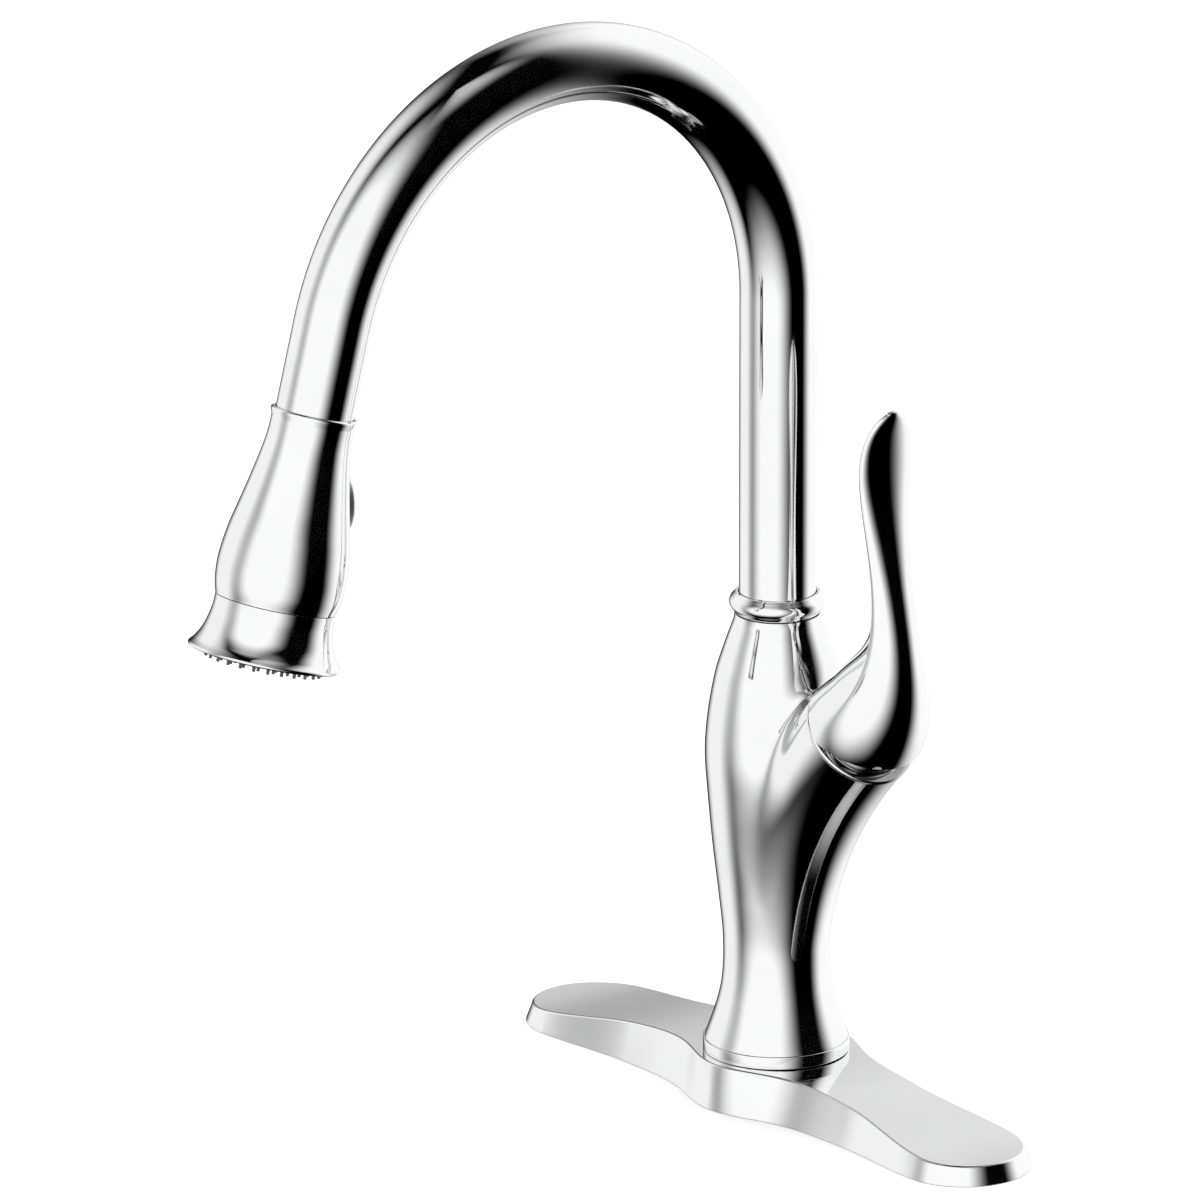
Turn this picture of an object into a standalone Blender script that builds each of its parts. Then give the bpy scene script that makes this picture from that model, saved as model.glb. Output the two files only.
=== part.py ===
"""Pull-down kitchen faucet on a long deck plate. Metres, +Z up, spout towards -Y, lever on +X.

The origin is on the spout's turning axis, on the counter's top face.
"""
import math

import bmesh
import bpy
from mathutils import Matrix, Vector

mm = 0.001
gap = 0.3 * mm                      # air between pieces that touch

# deck plate
plate_half_length = 129.5 * mm
plate_lobe_radius = 24.6 * mm       # round end of the foot outline
plate_waist = 21.5 * mm             # half width of the foot outline between middle and lobe
plate_middle = 32.0 * mm            # half width of the foot outline at the body
plate_middle_spread = 24.0 * mm     # how far along the plate the middle swelling reaches
plate_end_height = 6.8 * mm
plate_middle_height = 17.0 * mm
plate_slope_end = 2.1 * mm          # how far the top outline lies inside the foot outline
plate_slope_waist = 3.7 * mm
plate_slope_middle = 1.5 * mm
plate_wall = 2.4 * mm
insert_thickness = 3.6 * mm
gasket_thickness = 1.0 * mm

# body: a turned vase with a slanted valve branch
base_radius = 26.7 * mm
base_height = 4.2 * mm
waist_radius = 19.5 * mm
shoulder_radius = 26.2 * mm
shoulder_height = 130.0 * mm
tube_radius = 14.0 * mm             # spout tube, which the neck, collar and head lip follow
neck_radius = tube_radius + 1.6 * mm
body_top = 183.0 * mm
upper_bore = 11.3 * mm
branch_angle = math.radians(45.0)   # branch axis above the horizontal, in the XZ plane
branch_foot = 102.0 * mm            # height where the branch axis meets the body axis
branch_length = 65.0 * mm           # from the body axis to the branch's end face
branch_radius = 21.3 * mm
branch_bore = branch_radius - 4.8 * mm

# spout
tube_wall = 1.4 * mm
arch_radius = 104.2 * mm
arch_centre_height = 302.6 * mm
arch_lean = math.radians(15.2)      # angle of the spout's outlet end from the vertical
outlet_length = 33.5 * mm           # straight tube after the arch
collar_radius = tube_radius + 3.5 * mm
collar_height = 7.6 * mm
spigot_rise = 32.0 * mm             # how far the spigot stands up inside the tube
ring_section = 0.7 * mm             # o-ring section radius

# spray head, measured along its axis from the lip
head_lip_radius = tube_radius + 1.6 * mm
head_lip_height = 1.9 * mm
head_neck_radius = tube_radius + 0.9 * mm
head_belly_radius = 23.3 * mm
head_belly_at = 58.0 * mm
head_seam_radius = 21.6 * mm
head_seam_at = 69.5 * mm
head_rim_radius = 27.7 * mm
head_length = 89.5 * mm
head_wall = 1.9 * mm
face_radius = 23.0 * mm
nozzle_radius = 0.75 * mm
nozzle_stand_out = 3.4 * mm
nozzle_rings = ((20.9 * mm, 26), (17.4 * mm, 20), (12.8 * mm, 10))
aerator_radius = 8.0 * mm
button_at = 36.0 * mm
button_half_length = 12.0 * mm
button_half_width = 7.5 * mm
button_top = 24.2 * mm              # crown of the button, from the head's axis
button_travel = 1.6 * mm

# below the counter
shank_radius = 16.5 * mm
shank_wall = 1.6 * mm
plate_hole_radius = shank_radius + 1.1 * mm     # also the insert's and the gasket's hole
lower_bore = shank_radius + gap                 # the body's bore, which takes the shank
shank_bottom = -62.0 * mm
counter_thickness = 30.0 * mm

# hose and waterways
hose_radius = 6.2 * mm
supply_room = shank_radius - shank_wall - hose_radius   # between the hose and the shank's bore
supply_radius = 0.5 * supply_room - 0.95 * mm
supply_circle = hose_radius + 0.5 * supply_room
supply_angles = {"hot_supply_tube": 43.0, "mixed_water_tube": 0.0, "cold_supply_tube": -43.0}

# lever
hub_radius = branch_radius + 0.5 * mm
bonnet_radius = hub_radius - 4.2 * mm   # sphere that the lever's hub rocks over
pivot_along = 66.0 * mm             # lever pivot, along the branch axis
trim_height = 1.9 * mm
lever_lift_angle = math.radians(20.0)

branch_direction = Vector((math.cos(branch_angle), 0.0, math.sin(branch_angle)))
branch_foot_point = Vector((0.0, 0.0, branch_foot))
pivot_point = branch_foot_point + branch_direction * pivot_along
outlet_direction = Vector((0.0, -math.sin(arch_lean), -math.cos(arch_lean)))
arch_end = Vector((
    0.0,
    -arch_radius * (1.0 + math.cos(arch_lean)),
    arch_centre_height + arch_radius * math.sin(arch_lean),
))
lip_point = arch_end + outlet_direction * (outlet_length - 2.0 * mm)


# ---------------------------------------------------------------- helpers

def clear_scene():
    for old in list(bpy.data.objects):
        bpy.data.objects.remove(old, do_unlink=True)


finishes = {
    "chrome": ((0.86, 0.87, 0.88), 1.0, 0.04),
    "brass": ((0.72, 0.56, 0.29), 1.0, 0.32),
    "copper": ((0.78, 0.46, 0.33), 1.0, 0.30),
    "steel": ((0.62, 0.63, 0.64), 1.0, 0.35),
    "black_rubber": ((0.03, 0.03, 0.03), 0.0, 0.75),
    "grey_silicone": ((0.20, 0.21, 0.22), 0.0, 0.60),
    "white_plastic": ((0.85, 0.85, 0.83), 0.0, 0.45),
    "black_plastic": ((0.05, 0.05, 0.055), 0.0, 0.42),
    "ceramic": ((0.90, 0.89, 0.86), 0.0, 0.15),
    "nylon_braid": ((0.16, 0.16, 0.17), 0.0, 0.55),
    "magnet": ((0.30, 0.30, 0.31), 1.0, 0.40),
}


def finish_material(name, finish):
    colour, metallic, roughness = finishes[finish]
    made = bpy.data.materials.new(name + "_" + finish)
    made.use_nodes = True
    shader = made.node_tree.nodes["Principled BSDF"]
    shader.inputs["Base Color"].default_value = (*colour, 1.0)
    shader.inputs["Metallic"].default_value = metallic
    shader.inputs["Roughness"].default_value = roughness
    return made


def place(name, mesh_data, finish=None, matrix=None, parent=None):
    made = bpy.data.objects.new(name, mesh_data)
    bpy.context.scene.collection.objects.link(made)
    if parent is not None:
        made.parent = parent
    made.matrix_basis = matrix if matrix is not None else Matrix.Identity(4)
    if finish:
        made.data.materials.append(finish_material(name, finish))
    if made.type == "MESH":
        made.data.shade_smooth()
        made.data.set_sharp_from_angle(angle=math.radians(35.0))
    return made


def hide_cutter(cutter):
    cutter.hide_render = True
    cutter.display_type = "WIRE"
    return cutter


def boolean(target, tool, operation="DIFFERENCE"):
    modifier = target.modifiers.new(operation.lower() + "_" + tool.name, "BOOLEAN")
    modifier.operation = operation
    modifier.solver = "EXACT"
    modifier.object = hide_cutter(tool)
    return target


def frame_along(point, direction, side=Vector((0.0, 1.0, 0.0))):
    """A frame at point whose Z is direction and whose Y is as near side as can be."""
    along = direction.normalized()
    across = side.cross(along).normalized()
    upright = along.cross(across)
    turn = Matrix((across, upright, along)).transposed().to_4x4()
    return Matrix.Translation(point) @ turn


def axis_empty(name, matrix):
    made = bpy.data.objects.new(name, None)
    bpy.context.scene.collection.objects.link(made)
    made.matrix_basis = matrix
    return made


def mesh_from(bm, name):
    bmesh.ops.recalc_face_normals(bm, faces=bm.faces[:])
    made = bpy.data.meshes.new(name)
    bm.to_mesh(made)
    bm.free()
    return made


def turned(name, profile, segments=24):
    """Spin a closed (radius, height) outline round Z. Points on the axis may close it too."""
    bm = bmesh.new()
    corners = [bm.verts.new((radius, 0.0, height)) for radius, height in profile]
    pairs = list(zip(corners, corners[1:]))
    if profile[0][0] > 0.0 or profile[-1][0] > 0.0:
        pairs.append((corners[-1], corners[0]))
    edges = [bm.edges.new(pair) for pair in pairs]
    bmesh.ops.spin(bm, geom=corners + edges, cent=(0, 0, 0), axis=(0, 0, 1),
                   angle=math.tau, steps=segments, use_duplicate=False)
    bmesh.ops.remove_doubles(bm, verts=bm.verts[:], dist=1e-6)
    return mesh_from(bm, name)


def washer(name, inner, outer, low, high, segments=24):
    return turned(name, [(inner, high), (outer, high), (outer, low), (inner, low)], segments)


def rod(name, radius, low, high, segments=16):
    return turned(name, [(0.0, high), (radius, high), (radius, low), (0.0, low)], segments)


def lofted(name, rings, closed=False):
    """Skin rings of points that all have one count. Open lofts get flat end caps."""
    bm = bmesh.new()
    loops = [[bm.verts.new(point) for point in ring] for ring in rings]
    count = len(rings[0])
    spans = list(zip(loops, loops[1:]))
    if closed:
        spans.append((loops[-1], loops[0]))
    for first, second in spans:
        for i in range(count):
            j = (i + 1) % count
            bm.faces.new((first[i], first[j], second[j], second[i]))
    if not closed:
        bm.faces.new(loops[0])
        bm.faces.new(loops[-1])
    return mesh_from(bm, name)


def block(name, size, centre=(0.0, 0.0, 0.0)):
    bm = bmesh.new()
    where = Matrix.Translation(centre) @ Matrix.Diagonal((*size, 1.0))
    bmesh.ops.create_cube(bm, size=1.0, matrix=where)
    return mesh_from(bm, name)


def ball(name, radius, segments=28, rings=16):
    bm = bmesh.new()
    bmesh.ops.create_uvsphere(bm, u_segments=segments, v_segments=rings, radius=radius)
    return mesh_from(bm, name)


def smooth_step(value):
    value = min(1.0, max(0.0, value))
    return value * value * (3.0 - 2.0 * value)


def smooth_profile(points, steps):
    """A smooth curve through (radius, height) points, which keeps its two ends."""
    ends = [points[0]] + list(points) + [points[-1]]
    made = []
    for before, start, finish, after in zip(ends, ends[1:], ends[2:], ends[3:]):
        for k in range(steps):
            t = k / steps
            made.append(tuple(
                0.5 * (2 * s + (f - b) * t + (2 * b - 5 * s + 4 * f - a) * t * t
                       + (3 * s - b - 3 * f + a) * t ** 3)
                for b, s, f, a in zip(before, start, finish, after)))
    made.append(points[-1])
    return made


# ---------------------------------------------------------------- deck plate

def plate_outline(inset_middle, inset_waist, inset_end, stations=16, turn_steps=5):
    """Half widths along the plate and its two round ends, as one closed loop of (x, y)."""
    lobe = plate_lobe_radius - inset_end
    lobe_centre = plate_half_length - plate_lobe_radius
    waist = plate_waist - inset_waist
    middle = plate_middle - inset_middle
    front = []
    for k in range(-stations, stations + 1):
        x = lobe_centre * k / stations
        swell = math.exp(-(x / plate_middle_spread) ** 2)
        into_lobe = smooth_step((abs(x) / lobe_centre - 0.58) / 0.42)
        width = waist + (middle - waist) * swell + (lobe - waist) * into_lobe
        front.append((x, width))
    right = []
    for k in range(1, turn_steps * 2):
        turn = math.pi / 2 - math.pi * k / (turn_steps * 2)
        right.append((lobe_centre + lobe * math.cos(turn), lobe * math.sin(turn)))
    half = front + right
    return half + [(-x, -y) for x, y in half]


def plate_height(x):
    share = min(1.0, (abs(x) / (plate_half_length - 4.5 * mm)) ** 1.4)
    fall = 0.5 + 0.5 * math.cos(math.pi * share)
    return plate_end_height + (plate_middle_height - plate_end_height) * fall


def make_deck_plate():
    foot = plate_outline(0.0, 0.0, 0.0)
    edge = 0.8 * mm
    brow = plate_outline(plate_slope_middle, plate_slope_waist, plate_slope_end)
    crown = plate_outline(plate_slope_middle + edge, plate_slope_waist + edge, plate_slope_end + edge)
    inside_foot = plate_outline(plate_wall, plate_wall, plate_wall)
    ceiling = plate_outline(plate_slope_middle + plate_wall, plate_slope_waist + plate_wall,
                            plate_slope_end + plate_wall)
    rings = [
        [(x, y, plate_height(x)) for x, y in crown],
        [(x, y, plate_height(x) - 0.5 * edge) for x, y in brow],
        [(x, y, 0.0) for x, y in foot],
        [(x, y, 0.0) for x, y in inside_foot],
        [(x, y, plate_height(x) - plate_wall) for x, y in ceiling],
    ]
    bm = bmesh.new()
    loops = [[bm.verts.new(point) for point in ring] for ring in rings]
    count = len(loops[0])
    for first, second in zip(loops, loops[1:]):
        for i in range(count):
            j = (i + 1) % count
            bm.faces.new((first[i], first[j], second[j], second[i]))
    fill_across(bm, loops[0])
    fill_across(bm, loops[-1])
    plate = place("deck_plate", mesh_from(bm, "deck_plate"), "chrome")
    hole = rod("deck_hole", plate_hole_radius, -5 * mm, 30 * mm, 32)
    return boolean(plate, place("deck_hole", hole))


def fill_across(bm, loop):
    """Close a plate loop with strips across its width, front point to the back point opposite."""
    count = len(loop)
    half = count // 2
    ordered = sorted(loop, key=lambda v: v.co.x)
    left = ordered[0]
    start = loop.index(left)
    walk = [loop[(start + k) % count] for k in range(count)]
    for k in range(half):
        a, b = walk[k], walk[k + 1]
        c, d = walk[-k - 1], walk[-k] if k else walk[0]
        corners = []
        for vertex in (a, b, c, d):
            if vertex not in corners:
                corners.append(vertex)
        if len(corners) > 2:
            bm.faces.new(corners)


def make_under_plate():
    clear = plate_wall + gap
    outline = plate_outline(clear + 0.6 * mm, clear + 1.7 * mm, clear + 2.2 * mm)
    low = gasket_thickness + gap
    high = low + insert_thickness - 1.0 * mm
    insert = place("deck_insert", lofted("deck_insert", [
        [(x, y, low) for x, y in outline], [(x, y, high) for x, y in outline]]), "white_plastic")
    boss_top = plate_height(0.0) - plate_wall - gap - 0.55 * mm
    boss = washer("insert_boss", plate_hole_radius - 1 * mm, 23.0 * mm, low + 0.6 * mm, boss_top, 32)
    boolean(insert, place("insert_boss", boss), "UNION")
    boolean(insert, place("insert_hole", rod("insert_hole", plate_hole_radius, -5 * mm, 30 * mm, 32)))
    gasket = place("deck_gasket", lofted("deck_gasket", [
        [(x, y, 0.0) for x, y in outline],
        [(x, y, gasket_thickness) for x, y in outline]]), "black_rubber")
    boolean(gasket, place("gasket_hole", rod("gasket_hole", plate_hole_radius, -5 * mm, 30 * mm, 32)))


# ---------------------------------------------------------------- body

base_bottom = plate_middle_height + gap
body_bottom = base_bottom + base_height + gap


def vase_profile():
    """The outside of the turned body, top to bottom."""
    rise = shoulder_height - body_bottom
    points = [
        (neck_radius, body_top),
        (neck_radius + 0.1 * mm, body_top - 2.2 * mm),
        (17.3 * mm, body_top - 6.5 * mm),
        (20.2 * mm, body_top - 15.0 * mm),
        (22.8 * mm, body_top - 24.0 * mm),
        (25.3 * mm, body_top - 39.0 * mm),
        (shoulder_radius, shoulder_height),
        (25.2 * mm, body_bottom + 0.86 * rise),
        (23.4 * mm, body_bottom + 0.68 * rise),
        (21.2 * mm, body_bottom + 0.51 * rise),
        (waist_radius, body_bottom + 0.35 * rise),
        (waist_radius + 0.3 * mm, body_bottom + 0.21 * rise),
        (22.0 * mm, body_bottom + 0.11 * rise),
        (base_radius - 0.6 * mm, body_bottom),
    ]
    return smooth_profile(points, 1)


def branch_rings(sides=24):
    """Circles along a spine that leaves the vase low down and bends into the branch axis."""
    foot = Vector((0.0, 0.0, 42.0 * mm))
    knee = branch_foot_point + branch_direction * (3.0 * mm)
    tip = branch_foot_point + branch_direction * branch_length
    rings = []
    stations = 10
    for k in range(stations + 1):
        t = k / stations
        centre = foot * (1 - t) ** 2 + knee * (2 * t * (1 - t)) + tip * t ** 2
        along = (knee - foot) * (1 - t) + (tip - knee) * t
        radius = (waist_radius - 1.5 * mm) + (branch_radius - waist_radius + 1.5 * mm) * smooth_step(t)
        turn = frame_along(centre, along)
        rings.append([turn @ Vector((radius * math.cos(math.tau * i / sides),
                                     radius * math.sin(math.tau * i / sides), 0.0))
                      for i in range(sides)])
    return rings


def make_body():
    outside = vase_profile() + [(0.0, body_bottom), (0.0, body_top)]
    body = place("faucet_body", turned("faucet_body", outside, 32), "chrome")
    boolean(body, place("branch_form", lofted("branch_form", branch_rings())), "UNION")
    cavity = turned("body_cavity", [
        (0.0, body_top + 5 * mm), (upper_bore, body_top + 5 * mm), (upper_bore, body_top - 17 * mm),
        (19.0 * mm, shoulder_height + 12 * mm), (20.5 * mm, shoulder_height - 8 * mm),
        (lower_bore, 84.0 * mm), (lower_bore, body_bottom - 5 * mm), (0.0, body_bottom - 5 * mm),
    ], 28)
    boolean(body, place("body_cavity", cavity))
    bore = rod("branch_cavity", branch_bore, 17.0 * mm, branch_length + 8 * mm, 28)
    boolean(body, place("branch_cavity", bore, None, frame_along(branch_foot_point, branch_direction)))
    base = washer("base_ring", lower_bore + 0.6 * mm, base_radius, base_bottom, base_bottom + base_height, 36)
    place("base_ring", base, "chrome")
    return body


# ---------------------------------------------------------------- spout

def make_swivel(spout_axis):
    low = body_top - 15.0 * mm
    high = body_top + spigot_rise
    post = tube_radius - tube_wall - 2 * gap
    groove = post - 2 * ring_section + 0.2 * mm
    lands = (body_top + 9.0 * mm, body_top + 23.0 * mm)
    outline = [(8.2 * mm, high), (post, high)]
    for land in reversed(lands):
        edge = ring_section + gap
        outline += [(post, land + edge), (groove - gap, land + edge),
                    (groove - gap, land - edge), (post, land - edge)]
    outline += [(post, body_top + gap), (upper_bore - gap, body_top + gap),
                (upper_bore - gap, low), (8.2 * mm, low)]
    place("spout_spigot", turned("spout_spigot", outline, 24), "brass")
    middle = groove + ring_section
    for name, land in zip(("lower_o_ring", "upper_o_ring"), lands):
        section = [(middle + ring_section * math.cos(math.tau * k / 6),
                    land + ring_section * math.sin(math.tau * k / 6)) for k in range(6)]
        place(name, turned(name, section, 20), "black_rubber")
    washer_low = body_top + gap
    washer_high = washer_low + 1.0 * mm
    place("swivel_washer", washer("swivel_washer", post + gap, tube_radius, washer_low, washer_high, 24),
          "white_plastic")
    low = body_top + gap
    high = low + collar_height
    bulge = collar_radius
    inner = tube_radius + gap
    place("spout_collar", turned("spout_collar", [
        (inner, high), (inner + 0.9 * mm, high), (bulge - 1.5 * mm, high - 0.9 * mm),
        (bulge - 0.3 * mm, high - 2.4 * mm), (bulge, high - 3.9 * mm), (bulge - 0.4 * mm, high - 5.3 * mm),
        (bulge - 1.7 * mm, low + 0.6 * mm), (bulge - 2.2 * mm, low), (inner, low),
    ], 28), "chrome", parent=spout_axis)


def spout_line(end, arch_steps=22):
    """Points and directions along the spout's middle, from just above the swivel washer."""
    start = body_top + 2 * gap + 1.0 * mm
    places = [Vector((0.0, 0.0, start)), Vector((0.0, 0.0, arch_centre_height))]
    sweep = math.pi - arch_lean
    for k in range(1, arch_steps + 1):
        turn = sweep * k / arch_steps
        places.append(Vector((0.0, -arch_radius * (1 - math.cos(turn)),
                              arch_centre_height + arch_radius * math.sin(turn))))
    places.append(arch_end + outlet_direction * end)
    ways = [Vector((0.0, 0.0, 1.0)), Vector((0.0, 0.0, 1.0))]
    for k in range(1, arch_steps + 1):
        turn = sweep * k / arch_steps
        ways.append(Vector((0.0, -math.sin(turn), math.cos(turn))))
    ways.append(outlet_direction.copy())
    return list(zip(places, ways))


def circle_at(centre, along, radius, sides, side=Vector((1.0, 0.0, 0.0))):
    turn = frame_along(centre, along, side)
    return [turn @ Vector((radius * math.cos(math.tau * i / sides),
                           radius * math.sin(math.tau * i / sides), 0.0)) for i in range(sides)]


def make_spout(spout_axis):
    line = spout_line(outlet_length)
    sides = 20
    outer = [circle_at(p, w, tube_radius, sides) for p, w in line]
    inner = [circle_at(p, w, tube_radius - tube_wall, sides) for p, w in reversed(line)]
    tube = lofted("gooseneck_spout", outer + inner, closed=True)
    place("gooseneck_spout", tube, "chrome", parent=spout_axis)
    outlet = frame_along(arch_end, outlet_direction, Vector((1.0, 0.0, 0.0)))
    bush = tube_radius - tube_wall - gap
    bush_bore = 10.6 * mm
    place("dock_bush", turned("dock_bush", [
        (bush_bore, 0.0), (bush, 0.0), (bush, 14.0 * mm), (bush - 1.1 * mm, 14.0 * mm),
        (bush - 1.1 * mm, 20.6 * mm), (bush, 20.6 * mm), (bush, 31.0 * mm), (bush_bore, 31.0 * mm),
    ][::-1], 24), "black_plastic", outlet, spout_axis)
    return outlet


def make_hose(spout_axis):
    """The braided hose: up the body's middle, round the arch and into the spray head."""
    places = [Vector((0.0, 0.0, height * mm)) for height in range(-56, 300, 16)]
    steps = 22
    sweep = math.pi - arch_lean
    for k in range(steps + 1):
        turn = sweep * k / steps
        places.append(Vector((0.0, -arch_radius * (1 - math.cos(turn)),
                              arch_centre_height + arch_radius * math.sin(turn))))
    places.append(arch_end + outlet_direction * 10.0 * mm)
    curve = bpy.data.curves.new("spray_hose", "CURVE")
    curve.dimensions = "3D"
    curve.bevel_depth = hose_radius
    curve.bevel_resolution = 2
    curve.use_fill_caps = True
    spline = curve.splines.new("POLY")
    spline.points.add(len(places) - 1)
    for point, where in zip(spline.points, places):
        point.co = (*where, 1.0)
    place("spray_hose", curve, "nylon_braid", parent=spout_axis)
    collar = hose_radius + 0.5 * mm
    place("hose_end_fitting", turned("hose_end_fitting", [
        (0.0, -56.3 * mm), (collar, -56.3 * mm), (collar, -62.0 * mm), (collar - 1 * mm, -63.0 * mm),
        (collar - 1 * mm, -70.0 * mm), (collar - 2.4 * mm, -70.0 * mm), (collar - 2.4 * mm, -58.0 * mm),
        (0.0, -58.0 * mm),
    ], 20), "brass", parent=spout_axis)


# ---------------------------------------------------------------- spray head

def head_outline():
    """The shell's outside from the lip to the seam: (radius, distance along the head)."""
    return [(head_lip_radius - 0.5 * mm, 0.0), (head_lip_radius, 0.5 * mm),
            (head_lip_radius, head_lip_height - 0.5 * mm)] + smooth_profile([
                (head_neck_radius, head_lip_height + 1.4 * mm),
                (head_neck_radius + 0.1 * mm, 8.0 * mm),
                (15.6 * mm, 13.5 * mm),
                (17.2 * mm, 22.5 * mm),
                (19.5 * mm, 33.5 * mm),
                (22.0 * mm, 45.0 * mm),
                (head_belly_radius, head_belly_at - 2.0 * mm),
                (head_belly_radius - 0.4 * mm, head_belly_at + 6.0 * mm),
                (head_seam_radius + 0.1 * mm, head_seam_at - gap),
            ], 1)


def make_spray_head(head_axis):
    outside = head_outline()
    lip_bore = tube_radius + gap
    socket_end = 3.0 * mm
    inside = [(head_seam_radius - head_wall, head_seam_at - gap), (head_seam_radius - head_wall, 62.0 * mm),
              (head_belly_radius - 2.4 * mm, 55.0 * mm), (17.0 * mm, 33.0 * mm), (13.2 * mm, 16.0 * mm),
              (12.3 * mm, 10.0 * mm), (12.3 * mm, socket_end), (lip_bore, socket_end), (lip_bore, 0.0)]
    shell = place("spray_shell", turned("spray_shell", outside + inside, 24), "chrome", parent=head_axis)
    slot = place("button_well", lofted("button_well", [
        oval(button_half_width + gap, button_half_length + gap, height) for height in (8.0 * mm, 30.0 * mm)]),
        None, button_matrix(), head_axis)
    boolean(shell, slot)
    rim = head_rim_radius
    bell_out = smooth_profile([
        (head_seam_radius, head_seam_at), (head_seam_radius + 0.2 * mm, head_seam_at + 5.0 * mm),
        (23.4 * mm, 81.4 * mm), (25.6 * mm, 85.8 * mm), (rim - 0.2 * mm, head_length - 1.4 * mm)], 2)
    bell_in = [(rim - 1.0 * mm, head_length), (rim - 2.4 * mm, head_length - 0.6 * mm),
               (face_radius + gap, 84.5 * mm), (face_radius + gap, 82.0 * mm),
               (head_seam_radius - head_wall, 79.0 * mm), (head_seam_radius - head_wall, head_seam_at)]
    place("spray_bell", turned("spray_bell", bell_out + [(rim, head_length - 0.6 * mm)] + bell_in, 28),
          "chrome", parent=head_axis)
    make_spray_face(head_axis)
    make_spray_core(head_axis)
    make_button(head_axis)


def oval(half_width, half_length, height, sides=20):
    return [(half_width * math.cos(math.tau * i / sides), half_length * math.sin(math.tau * i / sides), height)
            for i in range(sides)]


def nozzle_places():
    for ring, (radius, count) in enumerate(nozzle_rings):
        for k in range(count):
            turn = math.tau * (k + 0.5 * (ring % 2)) / count
            yield radius * math.cos(turn), radius * math.sin(turn)


def make_spray_face(head_axis):
    face_low, face_high = 84.8 * mm, 87.0 * mm
    disc = washer("spray_face", aerator_radius + gap, face_radius, face_low, face_high, 32)
    face = place("spray_face", disc, "black_plastic", parent=head_axis)
    holes = bmesh.new()
    nubs = bmesh.new()
    mat_low, mat_high = face_low - 1.8 * mm, face_low - gap
    for x, y in nozzle_places():
        bmesh.ops.create_cone(holes, cap_ends=True, segments=6, radius1=nozzle_radius + gap,
                              radius2=nozzle_radius + gap, depth=6 * mm,
                              matrix=Matrix.Translation((x, y, face_low + 1 * mm)))
        nub_end = head_length + nozzle_stand_out - 1.0 * mm
        nub_start = mat_high - 0.6 * mm
        bmesh.ops.create_cone(nubs, cap_ends=True, segments=6, radius1=nozzle_radius,
                              radius2=nozzle_radius * 0.8, depth=nub_end - nub_start,
                              matrix=Matrix.Translation((x, y, 0.5 * (nub_end + nub_start))))
    boolean(face, place("nozzle_holes", mesh_from(holes, "nozzle_holes"), parent=head_axis))
    sheet = washer("nozzle_mat", aerator_radius + gap, face_radius - 0.9 * mm, mat_low, mat_high, 24)
    mat = place("nozzle_mat", sheet, "grey_silicone", parent=head_axis)
    boolean(mat, place("nozzle_nubs", mesh_from(nubs, "nozzle_nubs"), parent=head_axis), "UNION")
    place("aerator", turned("aerator", [
        (0.0, 87.4 * mm), (5.4 * mm, 87.4 * mm), (5.4 * mm, 88.4 * mm), (aerator_radius, 88.4 * mm),
        (aerator_radius, 76.3 * mm), (0.0, 76.3 * mm)], 20), "steel", parent=head_axis)


def make_spray_core(head_axis):
    """Inner waterway, its check valve, and the nut and ferrule that end the hose."""
    place("spray_waterway", turned("spray_waterway", [
        (5.3 * mm, 5.0 * mm), (9.0 * mm, 5.0 * mm), (9.0 * mm, 12.0 * mm), (11.9 * mm, 12.0 * mm),
        (11.9 * mm, 15.0 * mm), (9.0 * mm, 15.0 * mm), (9.0 * mm, 58.0 * mm), (19.2 * mm, 71.0 * mm),
        (19.2 * mm, 76.0 * mm), (5.3 * mm, 76.0 * mm),
    ][::-1], 24), "white_plastic", parent=head_axis)
    place("check_valve", turned("check_valve", [
        (2.2 * mm, 8.0 * mm), (5.0 * mm, 8.0 * mm), (5.0 * mm, 17.0 * mm), (2.2 * mm, 17.0 * mm),
    ][::-1], 16), "black_plastic", parent=head_axis)
    nut_top = -13.0 * mm
    place("hose_swivel_nut", turned("hose_swivel_nut", [
        (0.0, 4.7 * mm), (8.6 * mm, 4.7 * mm), (9.6 * mm, 3.7 * mm), (9.6 * mm, nut_top + 2 * mm),
        (8.2 * mm, nut_top), (0.0, nut_top)], 12), "brass", parent=head_axis)
    hose_stop = outlet_length - 2.0 * mm - 10.0 * mm
    place("hose_ferrule", turned("hose_ferrule", [
        (0.0, nut_top - gap), (7.2 * mm, nut_top - gap), (7.2 * mm, gap - hose_stop), (0.0, gap - hose_stop)], 20),
        "steel", parent=head_axis)
    place("face_retainer", turned("face_retainer", [
        (aerator_radius + gap, 76.3 * mm), (19.2 * mm, 76.3 * mm), (19.2 * mm, 82.7 * mm),
        (aerator_radius + gap, 82.7 * mm)][::-1], 24), "white_plastic", parent=head_axis)


def button_matrix():
    """In the head's frame: the button faces the column side, square to the shell there."""
    tilt = math.radians(13.0)
    outward = Vector((math.cos(tilt), 0.0, -math.sin(tilt)))
    along = Vector((math.sin(tilt), 0.0, math.cos(tilt)))
    side = along.cross(outward)
    turn = Matrix((side, along, outward)).transposed().to_4x4()
    return Matrix.Translation((0.0, 0.0, button_at)) @ turn


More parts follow.
